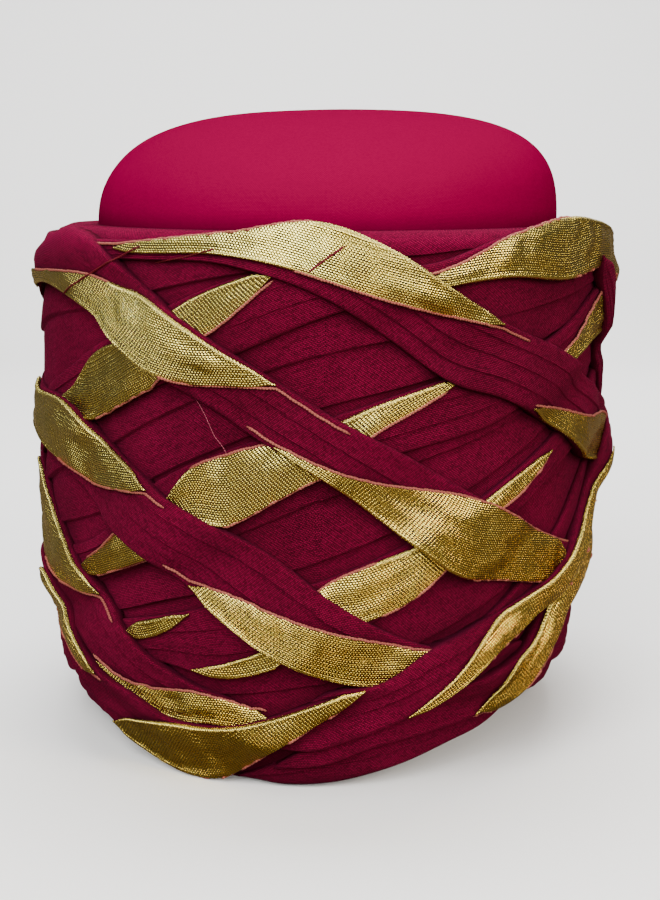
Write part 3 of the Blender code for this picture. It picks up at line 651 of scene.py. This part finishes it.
def make_strip(strip, number, winding, materials):
    """One folded strip with its lengthwise pleats, and the gold tape on it."""
    columns = strip_columns(strip)
    azimuths = columns * COLUMN_STEP
    low, high = strip_edges(strip, azimuths)
    taken = np.ones(len(azimuths)) if strip.ring else narrowing(azimuths, END_TAPER, 0.5)
    middle = (low + high) / 2
    low, high = middle + (low - middle) * taken, middle + (high - middle) * taken
    width = (high - low)[:, None]
    turn = azimuths / FULL_TURN
    wander = PLEAT_WANDER * ripple(turn, 0, number, 1 / 5, 1.0)
    marks = [0 * turn, *(crease + wander for crease in strip.creases), 1 + 0 * turn]
    shares, climbs = panel_rows(marks, PANEL_ROWS)
    heights = low[:, None] + width * shares
    inner_shares = np.linspace(0.0, 1.0, INNER_ROWS)
    under = winding.spread(5)
    inner = sample(winding.radius, azimuths, low[:, None] + width * inner_shares) + GAP
    base = sample(under, azimuths, heights) + GAP
    from_edge = np.minimum(shares, 1 - shares) * width
    depth = np.clip(1 - from_edge / EDGE_ROUNDING, 0.0, 1.0)
    body = STRIP_EDGE + (STRIP_THICKNESS - STRIP_EDGE) * np.sqrt(1 - depth**2)
    pressed = 1 - PRESSED * bulging(azimuths, middle) / BULGES[0].out
    body = body * (pressed * taken)[:, None]
    swell, rolled = swelling(strip, azimuths)
    fold = PLEAT_RELIEF * (1 - climbs) ** 1.6
    uneven = 0.7 + 0.45 * ripple(turn[:, None], shares, number + 40, 1 / 6, 0.9)
    fold = fold * taken[:, None] * uneven * (1 - rolled)
    arc = np.radians(azimuths)[:, None] * WRAP_HALF_WIDTH
    up = heights - (low + high)[:, None] / 2
    wrinkle = WRINKLE_RELIEF * ripple(arc, up, number + 80, 0.055, 0.0042)
    wrinkle = wrinkle * (0.6 + 0.6 * ripple(arc, up, number + 120, 0.05, 0.02))
    slack = SLACK_RELIEF * ripple(arc, up, number + 160, 0.02, 0.02)
    crown = swell * np.sqrt(np.clip(4 * shares * (1 - shares), 0, 1))
    radii = base + body + crown + fold * (1 - 0.5 * depth) + (wrinkle * (1 - rolled) + slack) * (1 - depth)
    winding.lay(columns, heights, radii)
    pick = slice(None, None, STRIP_STRIDE)
    piece = band_object(
        f"{strip.name}_cloth", azimuths[pick], heights[pick], radii[pick], inner[pick], strip.ring,
        materials["maroon"],
    )
    finish_cloth(piece, strip.name)
    for name, rows in strip.facings.items():
        make_tape(name, rows, strip, number, winding, materials)


def finish_cloth(piece, node_name):
    """The calls that every band of cloth needs.
    """
    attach(piece, "root")
    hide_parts(node_name)


def tape_edges(rows, strip, azimuths):
    """The heights of a tape's edges, kept on its strip."""
    low, high = strip_edges(strip, azimuths)
    start, end = edges_at(rows, azimuths, False)
    width = high - low
    bottom = low + np.clip(start, 0.0, 1.0) * width
    top = np.maximum(low + np.clip(end, 0.0, 1.0) * width, bottom + TAPE_LEAST_WIDTH)
    return bottom, top


def folded_share(name, edge, azimuths):
    """1 where this edge of a tape is its fold, 0 where its woven edge shows."""
    share = np.ones(len(azimuths))
    for selvedge in SELVEDGES:
        if selvedge.tape == name and selvedge.edge == edge:
            inside = ease(azimuths, selvedge.start - 1, selvedge.start + 1)
            inside = inside * (1 - ease(azimuths, selvedge.end - 1, selvedge.end + 1))
            share = np.minimum(share, 1 - inside)
    return share[:, None]


def make_tape(name, rows, strip, number, winding, materials):
    """One stretch of gold tape with gentle waves, a rolled fold and its pink woven edges."""
    azimuths = np.arange(rows[0][0], rows[-1][0] + TAPE_STEP / 2, TAPE_STEP)
    bottom, top = tape_edges(rows, strip, azimuths)
    fold_low = folded_share(name, "low", azimuths)
    fold_high = folded_share(name, "high", azimuths)
    taken = narrowing(azimuths, TAPE_TAPER, 0.3)
    middle = (bottom + top) / 2
    bottom, top = middle + (bottom - middle) * taken, middle + (top - middle) * taken
    plain_width = (top - bottom)[:, None]
    tooth = FOLD_TOOTH * (np.arange(len(azimuths)) % 2)
    bottom = bottom - tooth * fold_low[:, 0]
    top = top + tooth * fold_high[:, 0]
    width = (top - bottom)[:, None]
    shares = (1 - np.cos(np.linspace(0, math.pi, TAPE_ROWS)))[None, :] / 2
    heights = bottom[:, None] + width * shares
    under = winding.spread(2)
    base = sample(under, azimuths, heights) + GAP
    inner = sample(under, azimuths, bottom[:, None] + width * np.linspace(0, 1, INNER_ROWS)) + GAP
    fullness = np.clip(width / TAPE_FULL_WIDTH, 0.15, 1.0)
    crest = TAPE_CREST * fullness * np.sqrt(np.clip(4 * shares * (1 - shares), 0, 1))
    from_low = shares * width
    from_high = (1 - shares) * width
    arc = np.radians(azimuths)[:, None] * WRAP_HALF_WIDTH
    seed = len(name) * 7 + number
    waves = TAPE_WAVE * ripple(arc, from_low, seed, 0.055, 0.008)
    waves = waves + TAPE_WAVE * 0.5 * ripple(arc, heights, seed + 1, 0.016, 0.02)
    middle = ease(np.minimum(from_low, from_high), 0.0, TAPE_MARGIN) * fullness
    rolled = fold_low * np.exp(-((from_low - FOLD_MIDDLE) / FOLD_SPREAD) ** 2)
    rolled = rolled + fold_high * np.exp(-((from_high - FOLD_MIDDLE) / FOLD_SPREAD) ** 2)
    radii = base + TAPE_THICKNESS + crest + waves * middle + FOLD_ROLL * rolled * fullness
    whole = np.arange(0, len(azimuths), int(COLUMN_STEP / TAPE_STEP))
    winding.lay(np.round(azimuths[whole] / COLUMN_STEP).astype(int), heights[whole], radii[whole])
    piece = band_object(f"{name}_tape", azimuths, heights, radii, inner, False, materials["gold"],
                        plain_width * shares)
    # Where the fold lies, for its stripes and the highlight painted on it
    near_fold = fullness * np.maximum(
        fold_low * (1 - ease(from_low, FOLD_WIDTH * 0.6, FOLD_WIDTH * 1.4)),
        fold_high * (1 - ease(from_high, FOLD_WIDTH * 0.6, FOLD_WIDTH * 1.4)),
    )
    fold_values = np.concatenate([near_fold, np.zeros((len(azimuths), INNER_ROWS))], axis=1)
    layer = piece.data.attributes.new("fold", "FLOAT", "POINT")
    layer.data.foreach_set("value", fold_values.astype(np.float32).ravel())
    cords = []
    for selvedge in SELVEDGES:
        if selvedge.tape == name:
            cords.append(make_selvedge(selvedge, len(cords) + 1, rows, strip, winding, materials))
    finish_cloth(piece, name)


def bridge(line, times):
    """Lifts the dips of a line of radii, so that a cord spans them."""
    for _ in range(times):
        line[1:-1] = np.maximum(line[1:-1], (line[:-2] + line[2:]) / 2)


def make_selvedge(selvedge, number, rows, strip, winding, materials):
    """The twisted pink cord woven into one edge of a tape."""
    azimuths = np.arange(selvedge.start, selvedge.end + COLUMN_STEP / 2, COLUMN_STEP)
    bottom, top = tape_edges(rows, strip, azimuths)
    heights = bottom if selvedge.edge == "low" else top
    arc = np.radians(azimuths) * CORD_ARC_RADIUS
    heights = heights + CORD_WANDER * ripple(arc, 0, number + len(selvedge.tape), 0.006, 1)
    radii = sample(winding.radius, azimuths, heights[:, None])[:, 0] + CORD_RADIUS * 0.6
    bridge(radii, 2)
    name = f"{selvedge.tape.replace('gold', 'selvedge')}_{number}"
    piece = tube(name, points(azimuths, radii, heights), CORD_RADIUS, CORD_TWIST, materials["selvedge"])
    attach(piece, "root")
    return piece


def tube(name, path, radius, twist, material):
    """A thin twisted cord along a path, closed at both ends."""
    steps = np.linalg.norm(np.diff(path, axis=0), axis=1)
    far = np.concatenate([[0.0], np.cumsum(steps)])
    along = np.linspace(0.0, far[-1], max(int(far[-1] / CORD_STEP), 4))
    line = np.stack([np.interp(along, far, path[:, axis]) for axis in range(3)], axis=1)
    forward = np.gradient(line, axis=0)
    forward /= np.linalg.norm(forward, axis=1)[:, None]
    outward = line * (1, 1, 0)
    outward -= np.sum(outward * forward, axis=1)[:, None] * forward
    outward /= np.linalg.norm(outward, axis=1)[:, None]
    sideways = np.cross(forward, outward)
    angles = np.arange(TUBE_SIDES) * math.tau / TUBE_SIDES
    swell = radius * (1 + twist * np.sin(2 * angles[None, :] + math.tau * along[:, None] / CORD_TURN))
    fade = np.clip(np.minimum(along, along[-1] - along) / CORD_FADE + 0.35, 0.0, 1.0)
    swell = swell * fade[:, None]
    sections = (
        line[:, None]
        + swell[..., None] * np.cos(angles)[None, :, None] * outward[:, None]
        + swell[..., None] * np.sin(angles)[None, :, None] * sideways[:, None]
    )
    across = np.tile(angles * radius, (len(line), 1))
    return loft(name, sections[:, ::-1], along, across, False, material)


def make_threads(winding, materials):
    """The red tacking stitches over the upper folds, and a loose thread."""
    for thread in THREADS:
        ends = np.array(thread.points, dtype=float)
        spots = np.linspace(0, len(ends) - 1, 40)
        azimuths = np.interp(spots, np.arange(len(ends)), ends[:, 0])
        heights = np.interp(spots, np.arange(len(ends)), ends[:, 1]) * WRAP_HEIGHT
        radii = sample(winding.radius, azimuths, heights[:, None])[:, 0]
        bridge(radii, 12)
        path = points(azimuths, radii + thread.radius * 0.55, heights)
        piece = tube(thread.name, path, thread.radius, THREAD_TWIST, materials[thread.look])
        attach(piece, "root")


def core_marks(azimuths):
    """Heights of the rim, the rising rings' middles and the top, which the winding's folds follow."""
    rings = {strip.name: strip for strip in STRIPS}
    middles = [sum(strip_edges(rings[name], azimuths)) / 2 for name in CORE_RINGS]
    middles = [np.minimum(middle, HIGHEST_RING * WRAP_HEIGHT) for middle in middles]
    return [rim_height(azimuths), *middles, WRAP_HEIGHT + 0 * azimuths]


def core_folds(azimuths):
    """Heights of every fold of the winding, from its rim to its top, at these azimuths."""
    marks = core_marks(azimuths)
    folds = [marks[0]]
    for place, (low, high) in enumerate(zip(marks, marks[1:])):
        for crease in CORE_CREASES[place]:
            seed = 50 + place + int(crease * 100)
            wander = CORE_WANDER * ripple(azimuths / FULL_TURN, 0, seed, 1 / 6, 1.0)
            folds.append(low + (high - low) * (crease + wander))
        folds.append(high)
    return folds


def core_relief(azimuths, climbs, heights):
    """How far the winding's cloth lies under its full girth. climbs are shares up each fold's panel."""
    turn = azimuths[:, None] / FULL_TURN
    strength = 0.6 + 0.5 * ripple(turn, heights / WRAP_HEIGHT, 9, 1 / 8, 0.4)
    arc = np.radians(azimuths)[:, None] * WRAP_HALF_WIDTH
    rise = heights - core_marks(azimuths)[2][:, None]
    soft = CORE_SOFT_RELIEF * ripple(arc, rise, 11, 0.045, 0.03)
    fine = CORE_WRINKLE_RELIEF * ripple(arc, rise, 13, 0.05, 0.006)
    fine = fine * (0.5 + 0.7 * ripple(arc, rise, 15, 0.05, 0.03))
    return CORE_PLEAT_RELIEF * climbs**1.5 * np.clip(strength, 0.1, 1.2) + soft + fine


def climbs_on_grid(azimuths, folds):
    """Each grid row's share up the panel that it lies in."""
    climbs = np.zeros((len(azimuths), len(ROW_HEIGHTS)))
    for low, high in zip(folds, folds[1:]):
        share = (ROW_HEIGHTS[None, :] - low[:, None]) / np.maximum(high - low, ROW_STEP)[:, None]
        inside = (share >= 0) & (share < 1)
        climbs[inside] = share[inside]
    return climbs


def make_core(materials):
    """The winding under the strips, its top rim rolled in towards the cap."""
    azimuths = np.arange(COLUMNS) * COLUMN_STEP
    grid = np.tile(ROW_HEIGHTS, (COLUMNS, 1))
    climbs = climbs_on_grid(azimuths, core_folds(azimuths))
    winding = Winding(wrap_radius(azimuths[:, None], grid) - core_relief(azimuths, climbs, grid))

    turned = azimuths[::STRIP_STRIDE]
    heights, climbs = panel_rows(core_folds(turned), CORE_PANEL_ROWS)
    below = WRAP_HEIGHT - CORE_CORNER
    outer = wrap_radius(turned[:, None], heights) - core_relief(turned, climbs, heights)
    rim = rim_height(turned)[:, None]
    bend_share = np.clip((heights - below) / CORE_CORNER, 0.0, 1.0)
    outer = outer - CORE_CORNER * (1 - np.sqrt(1 - bend_share**2)) * 0.9
    outer = outer - HEM_TUCK * (1 - ease(heights - rim, 0.0, HEM_HEIGHT))
    cap_side = cap_radius(turned, np.full(len(turned), WRAP_HEIGHT)) + CAP_GAP
    inward = np.linspace(0, 1, 14)[1:]
    rim_radii = outer[:, -1:] + (cap_side[:, None] - outer[:, -1:]) * inward
    spiral = inward * TOP_TURNS + turned[:, None] / FULL_TURN
    rim_heights = WRAP_HEIGHT - TOP_STEP * (spiral % 1.0) * np.clip(8 * (1 - inward), 0, 1)
    inner_heights = rim + (WRAP_HEIGHT * 0.98 - rim) * np.linspace(1.0, 0.0, 10)
    inner_radii = cap_radius(turned[:, None], inner_heights) + CAP_GAP
    all_heights = np.concatenate([heights, rim_heights, inner_heights], axis=1)
    all_radii = np.concatenate([outer, rim_radii, inner_radii], axis=1)
    sections = points(turned[:, None], all_radii, all_heights)
    follow = lengths_across(sections) - core_marks(turned)[2][:, None]
    piece = loft("winding", sections, lengths_along(sections), follow, True, materials["maroon"])
    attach(piece, "root")
    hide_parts("wound_core")
    return winding


def cap_radius(azimuth, height):
    """Distance from the axis to the outside of the cap's wall, at a height in metres."""
    half_width = np.interp(height, [0.0, WRAP_HEIGHT], [HEAD_HALF_WIDTH + CAP_WALL, CAP_HALF_WIDTH])
    return oval_radius(azimuth, half_width)


def cap_skin(azimuths, inset):
    """Radii and heights of one face of the cap, this far inside its outer face."""
    turned = np.radians(azimuths)
    foot = rim_height(azimuths)[:, None] + CAP_RECESS
    wall_heights = foot + (WRAP_HEIGHT - foot) * np.linspace(0, 1, 30)
    facing_front = np.maximum(np.cos(turned), 0.0)[:, None]
    squareness = SIDE_SQUARENESS + (FRONT_SQUARENESS - SIDE_SQUARENESS) * facing_front
    squareness = squareness + SHOULDER_LEAN * np.sin(turned)[:, None]
    turn = np.linspace(0, math.pi / 2, 44)[1:]
    rim = oval_radius(azimuths[:, None], CAP_HALF_WIDTH - inset)
    dome_radii = rim * np.cos(turn) ** (2 / squareness)
    dome_heights = WRAP_HEIGHT + (CAP_RISE - inset) * np.sin(turn) ** (2 / squareness)
    wall_radii = cap_radius(azimuths[:, None], wall_heights) - inset
    radii = np.concatenate([wall_radii, dome_radii], axis=1)
    heights = np.concatenate([wall_heights, dome_heights], axis=1)
    return radii, heights


def make_cap(materials):
    """The smooth cap: one sheet, open below, with a soft shoulder and a nearly level crown."""
    azimuths = np.arange(0, 360, 1.0)
    radii, heights = cap_skin(azimuths, 0.0)
    soft = 0.0007 * ripple(np.radians(azimuths)[:, None] * 0.1, heights, 21, 0.09, 0.05)
    blend = np.clip((heights - 0.6 * WRAP_HEIGHT) / (0.4 * WRAP_HEIGHT), 0, 1) * np.clip(radii / 0.03, 0, 1)
    outer = points(azimuths[:, None], np.maximum(radii + soft * blend, 0.0), heights)
    inner = points(azimuths[:, None], *cap_skin(azimuths, CAP_WALL))
    size = outer.shape[1]
    top = outer[:, -1].mean(axis=0)
    under = inner[:, -1].mean(axis=0)
    rows = size - 1
    count = len(azimuths)
    offset = count * rows
    places = np.array([*outer[:, :-1].reshape(-1, 3), *inner[:, :-1].reshape(-1, 3), top, under])
    climb = lengths_across(outer)
    faces = []
    uvs = []
    for here in range(count):
        there = (here + 1) % count
        for low in range(rows - 1):
            a, b = here * rows + low, there * rows + low
            face = (a, b, b + 1, a + 1)
            faces.append(face)
            if radii[here, low] < 0.85 * CAP_HALF_WIDTH:
                uvs.extend((places[corner][0], places[corner][1]) for corner in face)
            else:
                left, right = CAP_HALF_WIDTH * math.radians(here), CAP_HALF_WIDTH * math.radians(here + 1)
                bottom, high = climb[here, low], climb[here, low + 1]
                uvs.extend([(left, bottom), (right, bottom), (right, high), (left, high)])
            faces.append((offset + a, offset + a + 1, offset + b + 1, offset + b))
            uvs.extend((places[corner][0], places[corner][2]) for corner in faces[-1])
        faces.append((here * rows + rows - 1, there * rows + rows - 1, 2 * offset))
        faces.append((offset + there * rows + rows - 1, offset + here * rows + rows - 1, 2 * offset + 1))
        faces.append((here * rows, offset + here * rows, offset + there * rows, there * rows))
        for face in faces[-3:]:
            uvs.extend((places[corner][0], places[corner][1]) for corner in face)
    piece = mesh_object("cap", places, faces, uvs, materials["crimson"])
    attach(piece, "root")
    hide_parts("crown_cap")


def new_material(name, colour, roughness, looks):
    """A plain material. looks holds more of its shader's values, by the names of their sockets."""
    material = bpy.data.materials.new(name)
    material.use_nodes = True
    tree = material.node_tree
    shader = tree.nodes["Principled BSDF"]
    values = {"Base Color": (*colour, 1.0), "Roughness": roughness, **looks}
    for key, value in values.items():
        shader.inputs[key].default_value = value
    return material, tree, shader


def node(tree, kind, inputs=None, **settings):
    made = tree.nodes.new(kind)
    for key, value in settings.items():
        setattr(made, key, value)
    for key, value in (inputs or {}).items():
        if isinstance(value, bpy.types.NodeSocket):
            tree.links.new(value, made.inputs[key])
        else:
            made.inputs[key].default_value = value
    return made


def math_node(tree, operation, *values, clamp=False):
    made = tree.nodes.new("ShaderNodeMath")
    made.operation = operation
    made.use_clamp = clamp
    for place, value in enumerate(values):
        if isinstance(value, bpy.types.NodeSocket):
            tree.links.new(value, made.inputs[place])
        else:
            made.inputs[place].default_value = value
    return made.outputs[0]


def times(tree, first, second):
    return math_node(tree, "MULTIPLY", first, second)


def times_plus(tree, first, second, third, clamp=False):
    return math_node(tree, "MULTIPLY_ADD", first, second, third, clamp=clamp)


def plus(tree, first, second, clamp=False):
    return math_node(tree, "ADD", first, second, clamp=clamp)


def minus(tree, first, second, clamp=False):
    return math_node(tree, "SUBTRACT", first, second, clamp=clamp)


def noise(tree, where, scale, detail):
    return node(tree, "ShaderNodeTexNoise", {"Vector": where, "Scale": scale, "Detail": detail}).outputs[0]


def parts_of(tree, vector):
    return node(tree, "ShaderNodeSeparateXYZ", {"Vector": vector}).outputs


def add_bump(tree, shader, height, strength, distance=1.0):
    bump = node(tree, "ShaderNodeBump", {"Height": height, "Strength": strength, "Distance": distance})
    tree.links.new(bump.outputs[0], shader.inputs["Normal"])


def ramp(tree, factor, stops):
    made = tree.nodes.new("ShaderNodeValToRGB")
    elements = made.color_ramp.elements
    while len(elements) < len(stops):
        elements.new(0.5)
    for element, (place, colour) in zip(elements, stops):
        element.position = place
        element.color = (*colour, 1.0)
    tree.links.new(factor, made.inputs[0])
    return made.outputs[0]


def blend_colour(tree, factor, first, second, way="MIX"):
    """A mix of two colours, each a socket or an RGB triple."""
    made = tree.nodes.new("ShaderNodeMix")
    made.data_type = "RGBA"
    made.blend_type = way
    sockets = (made.inputs[0], made.inputs[6], made.inputs[7])
    for socket, value in zip(sockets, (factor, first, second)):
        if isinstance(value, bpy.types.NodeSocket):
            tree.links.new(value, socket)
        elif isinstance(value, tuple):
            socket.default_value = (*value, 1.0)
        else:
            socket.default_value = value
    return made.outputs[2]


def cotton(name, deep, bright, thread, contrast, sheen):
    """Matt woven cotton: short staggered threads, uneven dye, soft wrinkles, painted shade in its creases
    and a painted top light on its topmost band.
    """
    looks = {"Sheen Weight": sheen, "Sheen Roughness": 0.5, "Sheen Tint": (0.9, 0.04, 0.25, 1.0),
             "Specular IOR Level": 0.6 * sheen}
    material, tree, shader = new_material(name, bright, 0.95, looks)
    where = node(tree, "ShaderNodeUVMap").outputs[0]
    spot = node(tree, "ShaderNodeTexCoord").outputs["Object"]
    brick = node(
        tree, "ShaderNodeTexBrick",
        {"Vector": where, "Scale": 1.0, "Mortar Size": thread * 0.22, "Mortar Smooth": 1.0,
         "Brick Width": thread * 1.7, "Row Height": thread,
         "Color1": (0, 0, 0, 1), "Color2": (1, 1, 1, 1), "Mortar": (0, 0, 0, 1)},
        offset=0.5,
    )
    gap = brick.outputs["Fac"]
    chance = brick.outputs["Color"]
    drawn = node(tree, "ShaderNodeMapping", {"Vector": where, "Scale": (90.0, 900.0, 1.0)}).outputs[0]
    slub = noise(tree, drawn, 1.0, 2.0)
    fleck = noise(tree, spot, 1300.0, 2.0)
    tone = times_plus(tree, slub, 0.25, times(tree, fleck, 0.35))
    tone = plus(tree, times(tree, noise(tree, spot, 22.0, 4.0), 0.40), tone)
    colour = ramp(tree, tone, [(0.38, deep), (0.62, bright)])
    # Painted top light: above this height the cloth takes the cap's lighter crimson
    band = {"Value": parts_of(tree, spot)[2], "From Min": PAINTED_TOP_LIGHT_BAND[0], "From Max": PAINTED_TOP_LIGHT_BAND[1]}
    top = node(tree, "ShaderNodeMapRange", band).outputs[0]
    colour = blend_colour(tree, top, colour, PAINTED_TOP_LIGHT_COLOUR)
    dash = times_plus(tree, chance, 0.5 * contrast, 1.0 - 0.25 * contrast)
    dash = minus(tree, dash, times(tree, gap, 0.75 * contrast), clamp=True)
    grey = node(tree, "ShaderNodeCombineColor", {0: dash, 1: dash, 2: dash}).outputs[0]
    colour = blend_colour(tree, 1.0, colour, grey, "MULTIPLY")
    # Painted shade: the colour darkens towards a deep shade in creases and recesses, where ambient
    # occlusion finds them
    crease = node(tree, "ShaderNodeAmbientOcclusion", {"Distance": 0.008}, samples=8).outputs["AO"]
    crease = math_node(tree, "POWER", crease, 1.4)
    colour = blend_colour(tree, crease, tuple(part * 0.3 for part in deep), colour)
    tree.links.new(colour, shader.inputs["Base Color"])
    height = times(tree, gap, -thread * 0.35 * contrast)
    height = times_plus(tree, chance, thread * 0.12, height)
    height = times_plus(tree, fleck, 0.00010, height)
    height = times_plus(tree, noise(tree, spot, 110.0, 4.0), 0.0007, height)
    add_bump(tree, shader, height, 0.7)
    return material


def gold_tape():
    """Woven foil tape: rows of small bright domes, dark pin holes between them, a striped fold with a
    painted highlight.
    """
    material, tree, shader = new_material("gold_tape", (0.9, 0.7, 0.12), 0.2, {"Metallic": 1.0})
    where = node(tree, "ShaderNodeUVMap").outputs[0]
    spot = node(tree, "ShaderNodeTexCoord").outputs["Object"]
    fold = node(tree, "ShaderNodeAttribute", attribute_name="fold").outputs["Fac"]
    plain = minus(tree, 1.0, fold, clamp=True)
    split = parts_of(tree, where)
    along = math_node(tree, "DIVIDE", split[0], CELL_LENGTH)
    across = math_node(tree, "DIVIDE", split[1], CELL_WIDTH)
    row = math_node(tree, "FLOOR", across)
    moved = plus(tree, along, times(tree, math_node(tree, "FLOORED_MODULO", row, 2.0), 0.5))
    from_middle = minus(tree, math_node(tree, "FRACT", moved), 0.5)
    from_row = minus(tree, math_node(tree, "FRACT", across), 0.5)
    squared = times_plus(tree, from_middle, from_middle, times(tree, from_row, from_row))
    hole = times_plus(tree, math_node(tree, "SQRT", squared), 6.0, -1.9, clamp=True)
    hole = times(tree, hole, plain)
    cell = node(tree, "ShaderNodeCombineXYZ", {"X": math_node(tree, "FLOOR", moved), "Y": row}).outputs[0]
    chances = node(tree, "ShaderNodeTexWhiteNoise", {"Vector": cell})
    chance = chances.outputs["Value"]
    chances = node(tree, "ShaderNodeSeparateColor", {"Color": chances.outputs["Color"]})
    tilt = times(tree, from_row, minus(tree, chances.outputs[1], 0.5))
    tilt = times_plus(tree, from_middle, minus(tree, chances.outputs[0], 0.5), tilt)
    # Painted reflection: the gold turns amber and darker lower down and towards the right, paler higher up
    # and to the left
    side = parts_of(tree, spot)
    painted_reflection_side = times_plus(tree, side[2], -3.0, 0.36)
    painted_reflection_side = plus(tree, times_plus(tree, side[0], 2.6, 0.40), painted_reflection_side, clamp=True)
    tone = times_plus(tree, noise(tree, spot, 60.0, 3.0), 0.7, times_plus(tree, chance, 0.2, -0.45))
    tone = plus(tree, times(tree, painted_reflection_side, 0.8), tone, clamp=True)
    mixed = blend_colour(tree, hole, ramp(tree, tone, GOLD_TONES_AND_PAINTED_REFLECTION), (0.035, 0.022, 0.006))
    slant = times_plus(tree, across, 0.6, along)
    stripes = math_node(tree, "SINE", times(tree, slant, math.tau * 1.7))
    stripes = times(tree, times_plus(tree, stripes, 0.5, 0.5), fold)
    # Painted highlight: the fold is painted a paler gold, as if it caught the light
    bright = blend_colour(tree, times(tree, fold, 0.6), mixed, (0.96, 0.82, 0.22))
    mixed = blend_colour(tree, times(tree, stripes, 0.75), bright, (0.20, 0.13, 0.02))
    tree.links.new(mixed, shader.inputs["Base Color"])
    tree.links.new(times_plus(tree, chance, 0.12, 0.17), shader.inputs["Roughness"])
    cells = times_plus(tree, squared, -DOME_RISE, times(tree, tilt, CELL_TILT))
    height = times_plus(tree, noise(tree, spot, 75.0, 0.5), FOIL_WAVE, times(tree, cells, plain))
    dents = times_plus(tree, stripes, -STRIPE_DEPTH, times(tree, hole, -HOLE_DEPTH))
    add_bump(tree, shader, plus(tree, height, dents), 1.0)
    return material


def cord_material(name, pale, deep, metallic):
    """A thin twisted thread, its turns in two tones."""
    looks = {"Metallic": metallic, "Specular IOR Level": 0.2}
    material, tree, shader = new_material(name, pale, 0.55, looks)
    split = parts_of(tree, node(tree, "ShaderNodeUVMap").outputs[0])
    turns = times_plus(tree, split[0], 2 * math.tau / CORD_TURN, times(tree, split[1], 2600.0))
    tone = times_plus(tree, math_node(tree, "SINE", turns), 0.5, 0.5)
    tree.links.new(ramp(tree, tone, [(0.15, deep), (0.85, pale)]), shader.inputs["Base Color"])
    add_bump(tree, shader, tone, 0.5, 0.0003)
    return material


def area_light(name, place, target, size, power, colour):
    light = bpy.data.lights.new(name, "AREA")
    light.shape = "DISK"
    light.size = size
    light.energy = power
    light.color = colour
    lamp = add_object(name, light)
    lamp.location = place
    toward = Vector(target) - Vector(place)
    lamp.rotation_mode = "QUATERNION"
    lamp.rotation_quaternion = toward.to_track_quat("-Z", "Y")


def make_camera():
    """The camera at the photograph's height and angle."""
    camera = bpy.data.cameras.new("camera")
    camera.lens = 60.76
    camera.sensor_width = 36.0
    view = add_object("camera", camera)
    view.location = (-0.0009, -0.62, 0.212)
    view.rotation_euler = (math.radians(80), 0, 0)
    bpy.context.scene.camera = view


def make_light():
    """Soft studio light, strongest from above, in a dim room with a pale backdrop."""
    world = bpy.data.worlds.new("world")
    bpy.context.scene.world = world
    world.use_nodes = True
    tree = world.node_tree
    background = tree.nodes["Background"]
    direction = node(tree, "ShaderNodeTexCoord").outputs["Generated"]
    up = parts_of(tree, direction)[2]
    room = ramp(tree, times_plus(tree, up, 0.5, 0.5), ROOM_TONES)
    seen = node(tree, "ShaderNodeLightPath").outputs["Is Camera Ray"]
    tree.links.new(blend_colour(tree, seen, room, (4.0, 4.0, 4.0)), background.inputs[0])
    background.inputs[1].default_value = 1.0

    area_light("top_light", (0.0, -0.15, 1.25), (0, 0, 0.15), 0.8, 4, (1, 1, 1))
    area_light("key_light", (-0.55, -1.2, 1.05), (0, 0, 0.12), 1.25, 36, (1, 0.99, 0.97))
    area_light("front_light", (0.1, -1.7, 0.55), (0, 0, 0.12), 1.0, 20, (1, 0.98, 0.95))
    area_light("fill_light", (1.1, -0.8, 0.65), (0, 0, 0.12), 0.6, 15, (1, 0.88, 0.74))
    area_light("back_light", (0.3, 1.1, 0.8), (0, 0, 0.12), 1.0, 4, (1, 1, 1))
    area_light("backdrop_light", (0.0, 0.7, 2.3), (0, 2.0, 0.9), 1.8, 110, (1, 1, 1))


def make_floor():
    """A pale floor that curves up behind.

    Only the camera sees it pale, so it throws little light back up.
    """
    material, tree, shader = new_material("pale_floor", (0.9, 0.9, 0.9), 0.9, {"Specular IOR Level": 0.0})
    seen = node(tree, "ShaderNodeLightPath").outputs["Is Camera Ray"]
    tree.links.new(blend_colour(tree, seen, FLOOR_REFLECTED, FLOOR_SEEN), shader.inputs["Base Color"])
    half = 2.0
    depth = 1.2
    bend = 0.8
    tall = 2.6
    rise = np.linspace(0, math.pi / 2, 13)
    curve = [(depth + bend * math.sin(a), bend - bend * math.cos(a)) for a in rise]
    profile = [(-half, 0.0), *curve, (depth + bend, tall)]
    places = np.array([(x, y, z) for y, z in profile for x in (-half, half)])
    faces = [(2 * k, 2 * k + 1, 2 * k + 3, 2 * k + 2) for k in range(len(profile) - 1)]
    floor = mesh_object("floor", places, faces, [(0, 0)] * 4 * len(faces), material)


def main():
    materials = {
        "maroon": cotton("maroon_cotton", (0.090, 0.0012, 0.014), (0.178, 0.0025, 0.030),
                         thread=0.00062, contrast=1.6, sheen=0.08),
        "crimson": cotton("crimson_cotton", (0.168, 0.0001, 0.028), (0.205, 0.0001, 0.036),
                          thread=0.00045, contrast=0.35, sheen=0.0),
        "gold": gold_tape(),
        "selvedge": cord_material("selvedge_cord", (0.42, 0.13, 0.09), (0.17, 0.03, 0.03), 0.1),
        "thread": cord_material("red_thread", (0.13, 0.002, 0.010), (0.05, 0.0006, 0.003), 0.0),
        "pale_thread": cord_material("pale_thread", (0.40, 0.09, 0.13), (0.25, 0.04, 0.07), 0.0),
    }
    make_camera()
    make_light()
    make_floor()
    winding = make_core(materials)
    make_cap(materials)
    for number, strip in enumerate(STRIPS):
        make_strip(strip, number, winding, materials)
    make_threads(winding, materials)


main()
